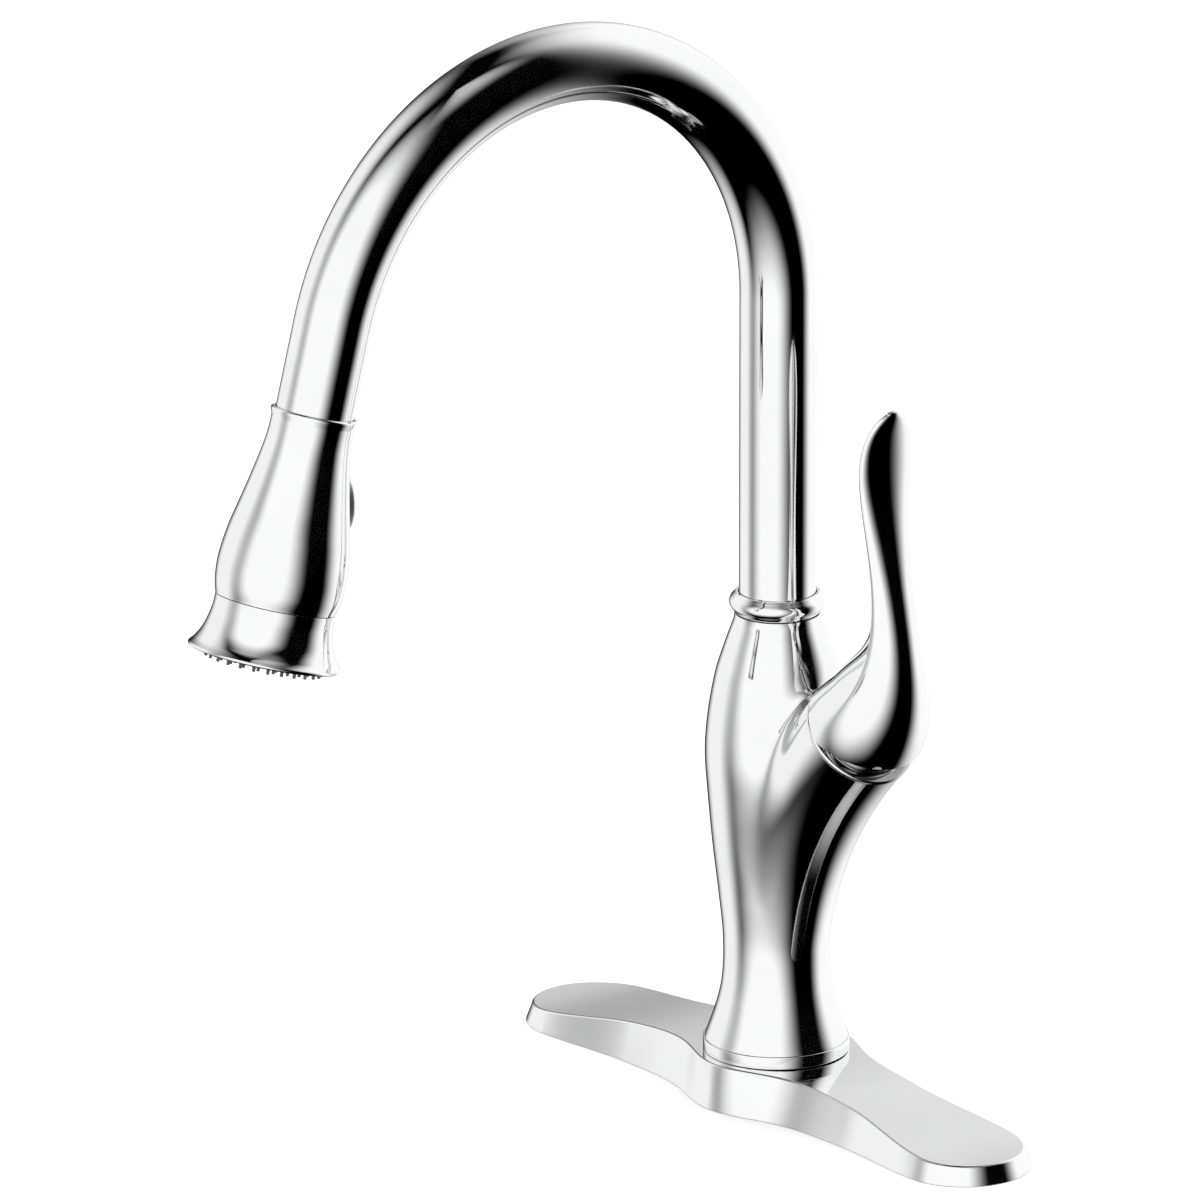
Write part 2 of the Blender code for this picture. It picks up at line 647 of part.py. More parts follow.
def make_button(head_axis):
    matrix = button_matrix()
    top = button_top
    rings = [oval(button_half_width - gap, button_half_length - gap, 14.2 * mm),
             oval(button_half_width - gap, button_half_length - gap, top - 3.0 * mm),
             oval(button_half_width * 0.9, button_half_length * 0.9, top - 1.2 * mm),
             oval(button_half_width * 0.7, button_half_length * 0.7, top - 0.3 * mm),
             oval(button_half_width * 0.35, button_half_length * 0.35, top)]
    place("mode_button", lofted("mode_button", rings), "chrome", matrix, head_axis)
    turns, steps, wire, coil = 3.0, 10, 0.35 * mm, 2.4 * mm
    low, high = 9.0 * mm + gap + wire, 14.2 * mm - gap - wire
    rings = []
    count = int(turns * steps)
    for k in range(count + 1):
        share = k / count
        turn = math.tau * turns * share
        centre = Vector((coil * math.cos(turn), coil * math.sin(turn), low + (high - low) * share))
        along = Vector((-math.sin(turn), math.cos(turn), (high - low) / (turns * math.tau * coil)))
        rings.append(circle_at(centre, along, wire, 5, Vector((0.0, 0.0, 1.0))))
    place("button_spring", lofted("button_spring", rings), "steel", matrix, head_axis)


# ---------------------------------------------------------------- valve

def make_valve(branch, turret_axis):
    cup = branch_bore - gap
    cup_in = cup - 2.6 * mm
    body = place("valve_body", turned("valve_body", [
        (0.0, 35.0 * mm), (cup_in, 35.0 * mm), (cup_in, 56.0 * mm), (cup, 56.0 * mm), (cup, 29.0 * mm),
        (0.0, 29.0 * mm)], 28), "brass", branch)
    foot = place("manifold_form", rod("manifold_form", 15.6 * mm, 100.0 * mm, 133.0 * mm, 24))
    boolean(foot, place("manifold_trim", block("manifold_trim", (60 * mm, 60 * mm, 60 * mm),
                                               (-27.0 * mm, 0.0, 116.0 * mm))))
    boolean(body, foot, "UNION")
    boolean(body, place("hose_way", rod("hose_way", hose_radius + 0.9 * mm, 90 * mm, 150 * mm, 20)))
    for name, angle in supply_angles.items():
        turn = math.radians(angle)
        where = Matrix.Translation((supply_circle * math.cos(turn), supply_circle * math.sin(turn), 0.0))
        bore = supply_radius - 1.0 * mm
        tube = turned(name, [(bore, 99.7 * mm), (supply_radius, 99.7 * mm), (supply_radius, -74.0 * mm),
                             (bore, -74.0 * mm)], 12)
        place(name, tube, "copper", where)
    cartridge = cup_in - gap
    disc = cartridge - 2.3 * mm
    place("cartridge_seal", washer("cartridge_seal", 3.0 * mm, cartridge - 1 * mm, 35.3 * mm, 36.8 * mm, 20),
          "black_rubber", branch)
    place("cartridge_housing", turned("cartridge_housing", [
        (0.0, 40.0 * mm), (disc + gap, 40.0 * mm), (disc + gap, 56.0 * mm), (cartridge, 56.0 * mm),
        (cartridge, 37.1 * mm), (0.0, 37.1 * mm)], 24), "white_plastic", branch)
    fixed = rod("fixed_ceramic_disc", disc, 40.3 * mm, 43.2 * mm, 20)
    place("fixed_ceramic_disc", fixed, "ceramic", branch)
    place("cartridge_nut", washer("cartridge_nut", 8.4 * mm, cup, 56.3 * mm, 61.5 * mm, 24), "brass", branch)
    moving = rod("moving_ceramic_disc", disc, 43.5 * mm, 46.4 * mm, 20)
    from_pivot = Matrix.Translation((0.0, 0.0, -pivot_along))
    place("moving_ceramic_disc", moving, "ceramic", from_pivot, turret_axis)
    turret = place("cartridge_turret", turned("cartridge_turret", [
        (0.0, 70.5 * mm), (7.0 * mm, 70.5 * mm), (7.0 * mm, 55.6 * mm), (disc - 0.1 * mm, 55.6 * mm),
        (disc - 0.1 * mm, 46.7 * mm), (0.0, 46.7 * mm)], 20), "white_plastic", from_pivot, turret_axis)
    boolean(turret, place("turret_slot", block("turret_slot", (30 * mm, 5.6 * mm, 30 * mm), (0, 0, 74 * mm)),
                          None, from_pivot, turret_axis))
    pin_turn = Matrix.Rotation(math.radians(90.0), 4, "X")
    boolean(turret, place("pin_bore", rod("pin_bore", 1.5 * mm + gap, -10 * mm, 10 * mm, 12), None,
                          pin_turn, turret_axis))
    place("stem_pin", rod("stem_pin", 1.5 * mm, -6.4 * mm, 6.4 * mm, 12), "steel", pin_turn, turret_axis)


def make_bonnet(branch, pivot):
    """The dome that the lever rocks over, and the thin ring round its foot."""
    floor = branch_length + gap
    profile = []
    steps = 4
    opening = math.radians(36.0)
    for k in range(steps + 1):
        turn = opening + (math.radians(91.5) - opening) * k / steps
        profile.append((bonnet_radius * math.sin(turn), pivot_along + bonnet_radius * math.cos(turn)))
    profile.append((bonnet_radius, floor))
    inner = bonnet_radius - 1.6 * mm
    profile.append((inner, floor))
    for k in range(steps, -1, -1):
        turn = opening + (math.radians(90.0) - opening) * k / steps
        profile.append((inner * math.sin(turn), pivot_along + inner * math.cos(turn)))
    place("bonnet", turned("bonnet", profile, 28), "chrome", branch)
    outer = branch_radius + 0.6 * mm
    low, high = floor, floor + trim_height
    place("trim_ring", turned("trim_ring", [
        (bonnet_radius + gap, high), (outer - 0.8 * mm, high), (outer, high - 0.6 * mm),
        (outer, low + 0.6 * mm), (outer - 0.8 * mm, low), (bonnet_radius + gap, low)], 36), "chrome", branch)


# ---------------------------------------------------------------- lever

def lever_sections():
    """Centre x and z, slope of the normal, half width, outer depth, column-side depth (mm, degrees), and how
    flat the column side is: 0.5 is round, 1 meets the outer side in a crease."""
    start = branch_foot_point + branch_direction * (branch_length + gap + trim_height + gap)
    hub = hub_radius / mm
    return [
        (start.x / mm, start.z / mm, 45.0, hub, hub, hub, 0.5),
        (51.5, 154.0, 47.0, 21.7, 21.9, 21.2, 0.55),
        (55.4, 159.5, 52.0, 20.6, 20.2, 19.8, 0.65),
        (59.0, 165.8, 59.0, 18.4, 17.6, 18.6, 0.75),
        (61.8, 173.0, 68.0, 15.4, 14.4, 16.2, 0.85),
        (63.3, 181.0, 77.0, 12.6, 11.4, 12.2, 0.95),
        (63.9, 190.0, 85.0, 10.6, 8.9, 7.6, 1.0),
        (63.8, 199.0, 90.0, 9.6, 7.0, 4.8, 1.0),
        (63.0, 209.0, 94.0, 9.2, 5.6, 3.6, 1.0),
        (61.8, 219.5, 96.0, 9.6, 4.8, 3.0, 1.0),
        (60.5, 230.0, 96.0, 10.4, 4.3, 2.6, 0.95),
        (59.4, 241.0, 93.0, 11.4, 3.9, 2.4, 0.9),
        (59.2, 251.0, 87.0, 12.1, 3.7, 2.3, 0.8),
        (60.0, 260.0, 80.0, 11.4, 3.4, 2.1, 0.7),
        (61.6, 266.6, 74.0, 9.4, 2.9, 1.8, 0.6),
        (63.2, 270.8, 70.0, 6.4, 2.2, 1.4, 0.55),
        (64.1, 272.9, 68.0, 3.0, 1.3, 0.9, 0.5),
    ]


def lever_ring(section, sides=28):
    x, z, slope, half_width, outer, inner, flatness = section
    along = Vector((math.cos(math.radians(slope)), 0.0, math.sin(math.radians(slope))))
    outward = Vector((along.z, 0.0, -along.x))
    centre = Vector((x * mm, 0.0, z * mm))
    ring = []
    for i in range(sides):
        turn = math.tau * i / sides
        across = math.sin(turn)
        if math.cos(turn) > 1e-6:
            depth = outer * math.cos(turn)
        else:
            depth = -inner * max(0.0, 1.0 - across * across) ** flatness
        ring.append(centre + outward * (depth * mm) + Vector((0.0, half_width * mm * across, 0.0)))
    return ring


def make_lever(lever_axis):
    rings = [lever_ring(section) for section in lever_sections()]
    to_axis = lever_axis.matrix_basis.inverted()
    lever = place("lever_handle", lofted("lever_handle", rings), "chrome", to_axis, lever_axis)
    cup = place("hub_hollow", ball("hub_hollow", bonnet_radius + 0.4 * mm), None, None, lever_axis)
    boolean(lever, cup)
    trim_top = branch_length + gap + trim_height - pivot_along
    relief = block("hub_relief", (60 * mm, 60 * mm, 40 * mm), (30 * mm, 0.0, -20 * mm))
    lift = Matrix.Translation((0.0, 0.0, trim_top + gap)) @ Matrix.Rotation(
        -(lever_lift_angle + math.radians(1.5)), 4, "Y")
    boolean(lever, place("hub_relief", relief, None, lift, lever_axis))
    stem_length = 25.0 * mm
    stem_width, stem_thick = 7.0 * mm, 4.8 * mm
    socket = block("stem_socket", (stem_width + 2 * gap, stem_thick + 2 * gap, 20 * mm),
                   (0.0, 0.0, stem_length + gap - 10 * mm))
    boolean(lever, place("stem_socket", socket, None, None, lever_axis))
    stem_low = -5.0 * mm
    stem = place("lever_stem", block("lever_stem", (stem_width, stem_thick, stem_length - stem_low),
                                     (0.0, 0.0, 0.5 * (stem_length + stem_low))), "steel", None, lever_axis)
    pin_turn = Matrix.Rotation(math.radians(90.0), 4, "X")
    boolean(stem, place("stem_eye", rod("stem_eye", 1.5 * mm + gap, -9 * mm, 9 * mm, 12), None,
                        pin_turn, lever_axis))
    across = Matrix.Translation((0.0, 0.0, 21.0 * mm)) @ Matrix.Rotation(math.radians(-90.0), 4, "X")
    boolean(lever, place("screw_hole", rod("screw_hole", 2.2 * mm, 0.0, 40 * mm, 12), None, across, lever_axis))
    near = 0.5 * stem_thick + gap
    place("handle_set_screw", rod("handle_set_screw", 1.9 * mm, near, near + 6.0 * mm, 12), "steel",
          across, lever_axis)
    place("screw_cover_plug", rod("screw_cover_plug", 1.9 * mm, 13.0 * mm, 16.0 * mm, 12), "grey_silicone",
          across, lever_axis)


# ---------------------------------------------------------------- below the counter

def make_fixing():
    inner = shank_radius - shank_wall
    place("threaded_shank", washer("threaded_shank", inner, shank_radius, shank_bottom,
                                   body_bottom + 18 * mm, 28), "brass")
    low = -counter_thickness - gap
    place("rubber_washer", washer("rubber_washer", shank_radius + gap, 27.0 * mm, low - 2.5 * mm, low, 28),
          "black_rubber")
    low -= 2.5 * mm + gap
    place("steel_washer", washer("steel_washer", shank_radius + gap, 27.0 * mm, low - 1.6 * mm, low, 28),
          "steel")
    low -= 1.6 * mm + gap
    nut_high = low - 4.0 * mm
    nut = place("mounting_nut", washer("mounting_nut", shank_radius + gap, 26.0 * mm, nut_high - 9.0 * mm,
                                       nut_high, 28), "brass")
    for side, name in ((-1, "left_clamp_screw"), (1, "right_clamp_screw")):
        where = Matrix.Translation((0.0, side * 21.4 * mm, 0.0))
        hole = rod(name + "_hole", 2.2 * mm, nut_high - 20 * mm, nut_high + 5 * mm, 12)
        boolean(nut, place(name + "_hole", hole, None, where))
        place(name, turned(name, [
            (0.0, low), (1.9 * mm, low), (1.9 * mm, nut_high - 9.0 * mm - gap),
            (3.6 * mm, nut_high - 9.0 * mm - gap), (3.6 * mm, nut_high - 12.5 * mm), (0.0, nut_high - 12.5 * mm),
        ], 12), "steel", where)


def build():
    clear_scene()
    spout_axis = axis_empty("spout_axis", Matrix.Identity(4))
    head_axis = axis_empty("head_axis", frame_along(lip_point, outlet_direction, Vector((1.0, 0.0, 0.0))))
    branch = frame_along(branch_foot_point, branch_direction)
    pivot = frame_along(pivot_point, branch_direction)
    turret_axis = axis_empty("turret_axis", pivot)
    lever_axis = axis_empty("lever_axis", pivot)
    make_deck_plate()
    make_under_plate()
    make_body()
    make_swivel(spout_axis)
    make_spout(spout_axis)
    make_hose(spout_axis)
    make_spray_head(head_axis)
    make_valve(branch, turret_axis)
    make_bonnet(branch, pivot)
    make_lever(lever_axis)
    make_fixing()


build()
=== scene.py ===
import math

import bmesh
import bpy
import numpy as np
from mathutils import Matrix, Vector


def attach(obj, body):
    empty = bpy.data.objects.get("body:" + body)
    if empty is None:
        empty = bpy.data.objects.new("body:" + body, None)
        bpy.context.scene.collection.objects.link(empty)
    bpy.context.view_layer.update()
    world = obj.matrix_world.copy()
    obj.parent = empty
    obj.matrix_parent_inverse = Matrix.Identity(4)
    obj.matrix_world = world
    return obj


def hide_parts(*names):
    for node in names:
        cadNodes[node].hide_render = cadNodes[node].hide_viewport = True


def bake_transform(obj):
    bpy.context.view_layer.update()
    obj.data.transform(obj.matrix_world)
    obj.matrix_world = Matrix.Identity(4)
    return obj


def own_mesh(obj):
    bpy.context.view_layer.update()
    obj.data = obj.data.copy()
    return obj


# Pull-down kitchen faucet on a long deck plate. Metres, +Z up, spout towards -Y, lever on +X.

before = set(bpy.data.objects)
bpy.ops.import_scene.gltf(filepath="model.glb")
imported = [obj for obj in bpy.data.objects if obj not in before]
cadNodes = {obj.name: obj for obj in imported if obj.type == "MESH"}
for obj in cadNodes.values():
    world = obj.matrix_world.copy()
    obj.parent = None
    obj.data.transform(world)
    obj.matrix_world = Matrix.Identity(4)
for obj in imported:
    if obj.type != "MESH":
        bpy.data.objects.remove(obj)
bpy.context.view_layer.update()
mm = 0.001
gap = 0.3 * mm          # air between pieces that touch

# Camera, light and floor

viewPoint = {
    "from": (5.0907, -4.2677, 2.2954),
    "at": (-0.0495, -0.0422, 0.1836),
    "lens": 579.5,
    "filmWidth": 36.0,
}


def makeCamera(view):
    lensData = bpy.data.cameras.new("studioCamera")
    lensData.lens = view["lens"]
    lensData.sensor_width = view["filmWidth"]
    lensData.clip_end = 40.0
    made = bpy.data.objects.new("studioCamera", lensData)
    bpy.context.scene.collection.objects.link(made)
    made.location = view["from"]
    aim = Vector(view["at"]) - Vector(view["from"])
    made.rotation_euler = aim.to_track_quat("-Z", "Y").to_euler()
    bpy.context.scene.camera = made


makeCamera(viewPoint)

# What the chrome mirrors: big soft light boxes round a dark room, white room light on all else.
# Headings are degrees from +X towards +Y, rises are degrees above the horizon.
studio = {
    "boxes": {      # full brightness inside the core, none past the edge, in shares of the half size
        "front": {"heading": -67, "rise": 13, "halfWidth": 52, "halfHeight": 53,
                  "core": 0.52, "edge": 1.39, "bright": 1.1},
        "side": {"heading": 95, "rise": 6, "halfWidth": 41, "halfHeight": 50,
                 "core": 0.67, "edge": 1.45, "bright": 1.0},
        "back": {"heading": -161, "rise": 3, "halfWidth": 33, "halfHeight": 55,
                 "core": 0.5, "edge": 1.41, "bright": 0.92},
        "top": {"heading": 17, "rise": 79, "halfWidth": 29, "halfHeight": 18,
                "core": 0.34, "edge": 1.9, "bright": 0.5},
        "plate": {"heading": 140, "rise": 22, "halfWidth": 16, "halfHeight": 20,
                  "core": 0.3, "edge": 1.3, "bright": 0.24},
    },
    "boxCorner": 2.5,        # 2 is an oval box, higher is squarer
    "darkRoom": 0.0,
    "mirrorStrength": 1.065,
    "roomStrength": 0.95,
    "skyLight": 42.0,        # watts of the big soft panel overhead
    "skyPanel": 3.2,
    "skyHeight": 2.6,
}


def wiredMath(tree, operation, *values):
    made = tree.nodes.new("ShaderNodeMath")
    made.operation = operation
    for socket, value in zip(made.inputs, values):
        if hasattr(value, "is_linked"):
            tree.links.new(value, socket)
        else:
            socket.default_value = value
    return made.outputs[0]


def softBox(tree, heading, rise, box, corner):
    turn = wiredMath(tree, "SUBTRACT", heading, math.radians(box["heading"]))
    aside = wiredMath(tree, "WRAP", turn, math.pi, -math.pi)
    above = wiredMath(tree, "SUBTRACT", rise, math.radians(box["rise"]))
    sides = []
    for angle, half in ((aside, box["halfWidth"]), (above, box["halfHeight"])):
        share = wiredMath(tree, "ABSOLUTE", wiredMath(tree, "DIVIDE", angle, math.radians(half)))
        sides.append(wiredMath(tree, "POWER", share, corner))
    away = wiredMath(tree, "POWER", wiredMath(tree, "ADD", *sides), 1.0 / corner)
    fade = tree.nodes.new("ShaderNodeMapRange")
    fade.interpolation_type = "SMOOTHSTEP"
    fade.inputs["From Min"].default_value = box["core"]
    fade.inputs["From Max"].default_value = box["edge"]
    fade.inputs["To Min"].default_value = box["bright"]
    fade.inputs["To Max"].default_value = 0.0
    tree.links.new(away, fade.inputs["Value"])
    return fade.outputs[0]


def makeStudioWorld(look):
    world = bpy.data.worlds.new("paleStudio")
    bpy.context.scene.world = world
    world.use_nodes = True
    tree = world.node_tree
    tree.nodes.clear()
    place = tree.nodes.new("ShaderNodeTexCoord")
    axes = tree.nodes.new("ShaderNodeSeparateXYZ")
    tree.links.new(place.outputs["Generated"], axes.inputs[0])
    heading = wiredMath(tree, "ARCTAN2", axes.outputs[1], axes.outputs[0])
    rise = wiredMath(tree, "ARCSINE", axes.outputs[2])
    total = look["darkRoom"]
    for box in look["boxes"].values():
        total = wiredMath(tree, "ADD", softBox(tree, heading, rise, box, look["boxCorner"]), total)
    mirrored = tree.nodes.new("ShaderNodeBackground")
    tree.links.new(wiredMath(tree, "MINIMUM", total, 1.0), mirrored.inputs["Color"])
    mirrored.inputs["Strength"].default_value = look["mirrorStrength"]
    room = tree.nodes.new("ShaderNodeBackground")
    room.inputs["Color"].default_value = (1.0, 1.0, 1.0, 1.0)
    room.inputs["Strength"].default_value = look["roomStrength"]
    path = tree.nodes.new("ShaderNodeLightPath")
    both = tree.nodes.new("ShaderNodeMixShader")
    out = tree.nodes.new("ShaderNodeOutputWorld")
    tree.links.new(path.outputs["Is Glossy Ray"], both.inputs[0])
    tree.links.new(room.outputs[0], both.inputs[1])
    tree.links.new(mirrored.outputs[0], both.inputs[2])
    tree.links.new(both.outputs[0], out.inputs[0])


def makeSoftLight(look):
    panel = bpy.data.lights.new("skyPanel", "AREA")
    panel.shape = "DISK"
    panel.size = look["skyPanel"]
    panel.energy = look["skyLight"]
    made = bpy.data.objects.new("skyPanel", panel)
    bpy.context.scene.collection.objects.link(made)
    made.location = (0.0, 0.0, look["skyHeight"])
    made.visible_glossy = False


floor = {"radius": 9.0, "drop": 0.2 * mm, "colour": (0.93, 0.93, 0.93, 1.0), "roughness": 0.9}


def makeFloor(size):
    bm = bmesh.new()
    bmesh.ops.create_circle(bm, cap_ends=True, segments=96, radius=size["radius"])
    sheet = bpy.data.meshes.new("paleFloor")
    bm.to_mesh(sheet)
    bm.free()
    made = bpy.data.objects.new("paleFloor", sheet)
    bpy.context.scene.collection.objects.link(made)
    made.location = (0.0, 0.0, -size["drop"])
    coat = bpy.data.materials.new("matWhiteFloor")
    coat.use_nodes = True
    shader = coat.node_tree.nodes["Principled BSDF"]
    shader.inputs["Base Color"].default_value = size["colour"]
    shader.inputs["Roughness"].default_value = size["roughness"]
    shader.inputs["Specular IOR Level"].default_value = 0.0
    sheet.materials.append(coat)
    made.visible_glossy = False     # the chrome mirrors the dark room below, not the floor


makeStudioWorld(studio)
makeSoftLight(studio)
makeFloor(floor)
bpy.context.scene.view_settings.view_transform = "Standard"
print("camera, light and floor are ready")

# Finishes. Every one gets fine colour, gloss and bump from its own nodes, in metres on the part.

finishes = {
    "polishedChrome": {
        "dark": (0.875, 0.876, 0.878), "light": (0.916, 0.917, 0.919), "metal": 1.0,
        "gloss": (0.035, 0.075), "grain": 160.0, "bump": 0.004, "depth": 0.00004,
    },
    "turnedBrass": {
        "dark": (0.50, 0.35, 0.13), "light": (0.80, 0.62, 0.32), "metal": 1.0,
        "gloss": (0.22, 0.40), "grain": 220.0, "bump": 0.25, "depth": 0.00008, "lathe": 1900.0,
    },
    "copperTube": {
        "dark": (0.46, 0.20, 0.12), "light": (0.86, 0.49, 0.34), "metal": 1.0,
        "gloss": (0.20, 0.42), "grain": 140.0, "bump": 0.15, "depth": 0.00006,
    },
    "brushedSteel": {
        "dark": (0.42, 0.43, 0.44), "light": (0.68, 0.69, 0.70), "metal": 1.0,
        "gloss": (0.24, 0.42), "grain": 320.0, "bump": 0.2, "depth": 0.00006, "lathe": 2600.0,
    },
    "blackRubber": {
        "dark": (0.016, 0.016, 0.017), "light": (0.040, 0.040, 0.042), "metal": 0.0,
        "gloss": (0.62, 0.86), "grain": 700.0, "bump": 0.35, "depth": 0.00012,
    },
    "greySilicone": {
        "dark": (0.075, 0.078, 0.082), "light": (0.150, 0.155, 0.162), "metal": 0.0,
        "gloss": (0.42, 0.62), "grain": 520.0, "bump": 0.25, "depth": 0.00010,
    },
    "whitePlastic": {
        "dark": (0.70, 0.70, 0.68), "light": (0.84, 0.84, 0.82), "metal": 0.0,
        "gloss": (0.32, 0.48), "grain": 420.0, "bump": 0.18, "depth": 0.00008,
    },
    "blackPlastic": {
        "dark": (0.018, 0.018, 0.020), "light": (0.045, 0.045, 0.048), "metal": 0.0,
        "gloss": (0.28, 0.46), "grain": 800.0, "bump": 0.30, "depth": 0.00010,
    },
    "whiteCeramic": {
        "dark": (0.80, 0.79, 0.76), "light": (0.92, 0.91, 0.88), "metal": 0.0,
        "gloss": (0.08, 0.16), "grain": 260.0, "bump": 0.05, "depth": 0.00004,
    },
}


def noiseOn(tree, scale, detail=6.0):
    place = tree.nodes.new("ShaderNodeTexCoord")
    noise = tree.nodes.new("ShaderNodeTexNoise")
    noise.inputs["Scale"].default_value = scale
    noise.inputs["Detail"].default_value = detail
    noise.inputs["Roughness"].default_value = 0.62
    tree.links.new(place.outputs["Object"], noise.inputs["Vector"])
    return noise.outputs[0]


def spanOf(tree, value, low, high):
    made = tree.nodes.new("ShaderNodeMapRange")
    made.inputs["From Min"].default_value = 0.25
    made.inputs["From Max"].default_value = 0.75
    made.inputs["To Min"].default_value = low
    made.inputs["To Max"].default_value = high
    tree.links.new(value, made.inputs["Value"])
    return made.outputs[0]


def tintBetween(tree, value, dark, light):
    made = tree.nodes.new("ShaderNodeValToRGB")
    made.color_ramp.elements[0].position = 0.3
    made.color_ramp.elements[1].position = 0.7
    made.color_ramp.elements[0].color = (*dark, 1.0)
    made.color_ramp.elements[1].color = (*light, 1.0)
    tree.links.new(value, made.inputs[0])
    return made.outputs[0]


def latheLines(tree, scale):
    place = tree.nodes.new("ShaderNodeTexCoord")
    wave = tree.nodes.new("ShaderNodeTexWave")
    wave.bands_direction = "Z"
    wave.inputs["Scale"].default_value = scale / math.tau
    wave.inputs["Distortion"].default_value = 1.6
    wave.inputs["Detail"].default_value = 3.0
    tree.links.new(place.outputs["Object"], wave.inputs["Vector"])
    return wave.outputs["Fac"]


def addBump(tree, shader, height, strength, depth):
    bump = tree.nodes.new("ShaderNodeBump")
    bump.inputs["Strength"].default_value = strength
    bump.inputs["Distance"].default_value = depth
    tree.links.new(height, bump.inputs["Height"])
    tree.links.new(bump.outputs[0], shader.inputs["Normal"])


def makeFinish(name, look):
    made = bpy.data.materials.new(name)
    made.use_nodes = True
    tree = made.node_tree
    shader = tree.nodes["Principled BSDF"]
    shader.inputs["Metallic"].default_value = look["metal"]
    broad = noiseOn(tree, look["grain"] * 0.18, 4.0)
    fine = noiseOn(tree, look["grain"])
    tree.links.new(tintBetween(tree, broad, look["dark"], look["light"]), shader.inputs["Base Color"])
    tree.links.new(spanOf(tree, fine, *look["gloss"]), shader.inputs["Roughness"])
    height = fine
    if "lathe" in look:
        height = wiredMath(tree, "MULTIPLY_ADD", latheLines(tree, look["lathe"]), 0.7, fine)
    addBump(tree, shader, height, look["bump"], look["depth"])
    return made


finishOf = {name: makeFinish(name, look) for name, look in finishes.items()}

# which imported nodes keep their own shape, and the finish each one takes
keptShapes = {
    "turnedBrass": ["spout_spigot", "valve_body", "hose_end_fitting", "hose_swivel_nut",
                    "cartridge_nut", "mounting_nut"],
    "copperTube": ["hot_supply_tube", "mixed_water_tube", "cold_supply_tube"],
    "brushedSteel": ["hose_ferrule", "stem_pin", "lever_stem", "handle_set_screw",
                     "steel_washer", "left_clamp_screw", "right_clamp_screw"],
    "blackRubber": ["deck_gasket", "lower_o_ring", "upper_o_ring", "cartridge_seal", "rubber_washer"],
    "greySilicone": ["screw_cover_plug"],
    "whitePlastic": ["deck_insert", "swivel_washer", "cartridge_housing", "cartridge_turret",
                     "spray_waterway", "face_retainer"],
    "blackPlastic": ["dock_bush", "check_valve"],
    "whiteCeramic": ["fixed_ceramic_disc", "moving_ceramic_disc"],
}

for finish, names in keptShapes.items():
    for name in names:
        packed = cadNodes[name]
        packed.data.materials.clear()
        packed.data.materials.append(finishOf[finish])
print("finishes are on the inner pieces")

# Shape helpers


def smoothStep(value):
    value = min(1.0, max(0.0, value))
    return value * value * (3.0 - 2.0 * value)


def throughPoints(points, steps):
    # a smooth curve through rows of numbers, which keeps its two ends
    ends = [points[0]] + list(points) + [points[-1]]
    made = []
    for before, start, finish, after in zip(ends, ends[1:], ends[2:], ends[3:]):
        for k in range(steps):
            t = k / steps
            made.append(tuple(
                0.5 * (2 * s + (f - b) * t + (2 * b - 5 * s + 4 * f - a) * t * t
                       + (3 * s - b - 3 * f + a) * t ** 3)
                for b, s, f, a in zip(before, start, finish, after)))
    made.append(tuple(points[-1]))
    return made


def roundCorners(points, radius, steps=5, closed=True):
    # trade each sharp corner of an outline for a small arc
    count = len(points)
    made = []
    for i, corner in enumerate(points):
        here = Vector(corner)
        if not closed and i in (0, count - 1):
            made.append(tuple(here))
            continue
        before, after = Vector(points[i - 1]), Vector(points[(i + 1) % count])
        into, away = before - here, after - here
        bend = math.pi - into.angle(away, math.pi)
        if bend < math.radians(24.0):
            made.append(tuple(here))
            continue
        reach = min(radius, 0.45 * into.length, 0.45 * away.length)
        first, last = here + into.normalized() * reach, here + away.normalized() * reach
        for k in range(steps + 1):
            t = k / steps
            made.append(tuple(first * (1 - t) ** 2 + here * (2 * t * (1 - t)) + last * t * t))
    return made


def frameAlong(point, direction, side=Vector((0.0, 1.0, 0.0))):
    along = direction.normalized()
    across = side.cross(along).normalized()
    upright = along.cross(across)
    return Matrix.Translation(point) @ Matrix((across, upright, along)).transposed().to_4x4()


def toMesh(bm, name):
    bmesh.ops.remove_doubles(bm, verts=bm.verts[:], dist=1e-7)
    bmesh.ops.recalc_face_normals(bm, faces=bm.faces[:])
    made = bpy.data.meshes.new(name)
    bm.to_mesh(made)
    bm.free()
    return made


def standIn(made, body, node):
    # put a piece on its body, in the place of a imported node
    if body:
        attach(made, body)
    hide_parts(node)


def addPiece(sheet, finish, body=None, node=None, matrix=None, sharp=35.0):
    made = bpy.data.objects.new(sheet.name, sheet)
    bpy.context.scene.collection.objects.link(made)
    if matrix is not None:
        sheet.transform(matrix)
    sheet.materials.clear()
    sheet.materials.append(finishOf[finish])
    sheet.shade_smooth()
    sheet.set_sharp_from_angle(angle=math.radians(sharp))
    if node:
        standIn(made, body, node)
    return made


def turnedMesh(name, profile, segments=144):
    # spin a closed (radius, height) outline round Z
    bm = bmesh.new()
    corners = [bm.verts.new((radius, 0.0, height)) for radius, height in profile]
    edges = [bm.edges.new(pair) for pair in zip(corners, corners[1:])]
    if profile[0][0] > 1e-6 or profile[-1][0] > 1e-6:
        edges.append(bm.edges.new((corners[-1], corners[0])))
    bmesh.ops.spin(bm, geom=corners + edges, cent=(0, 0, 0), axis=(0, 0, 1),
                   angle=math.tau, steps=segments, use_duplicate=False)
    return toMesh(bm, name)


def bridgeRings(bm, first, second):
    # four-cornered faces between two rings of as many points
    for i in range(len(first)):
        j = (i + 1) % len(first)
        bm.faces.new((first[i], first[j], second[j], second[i]))


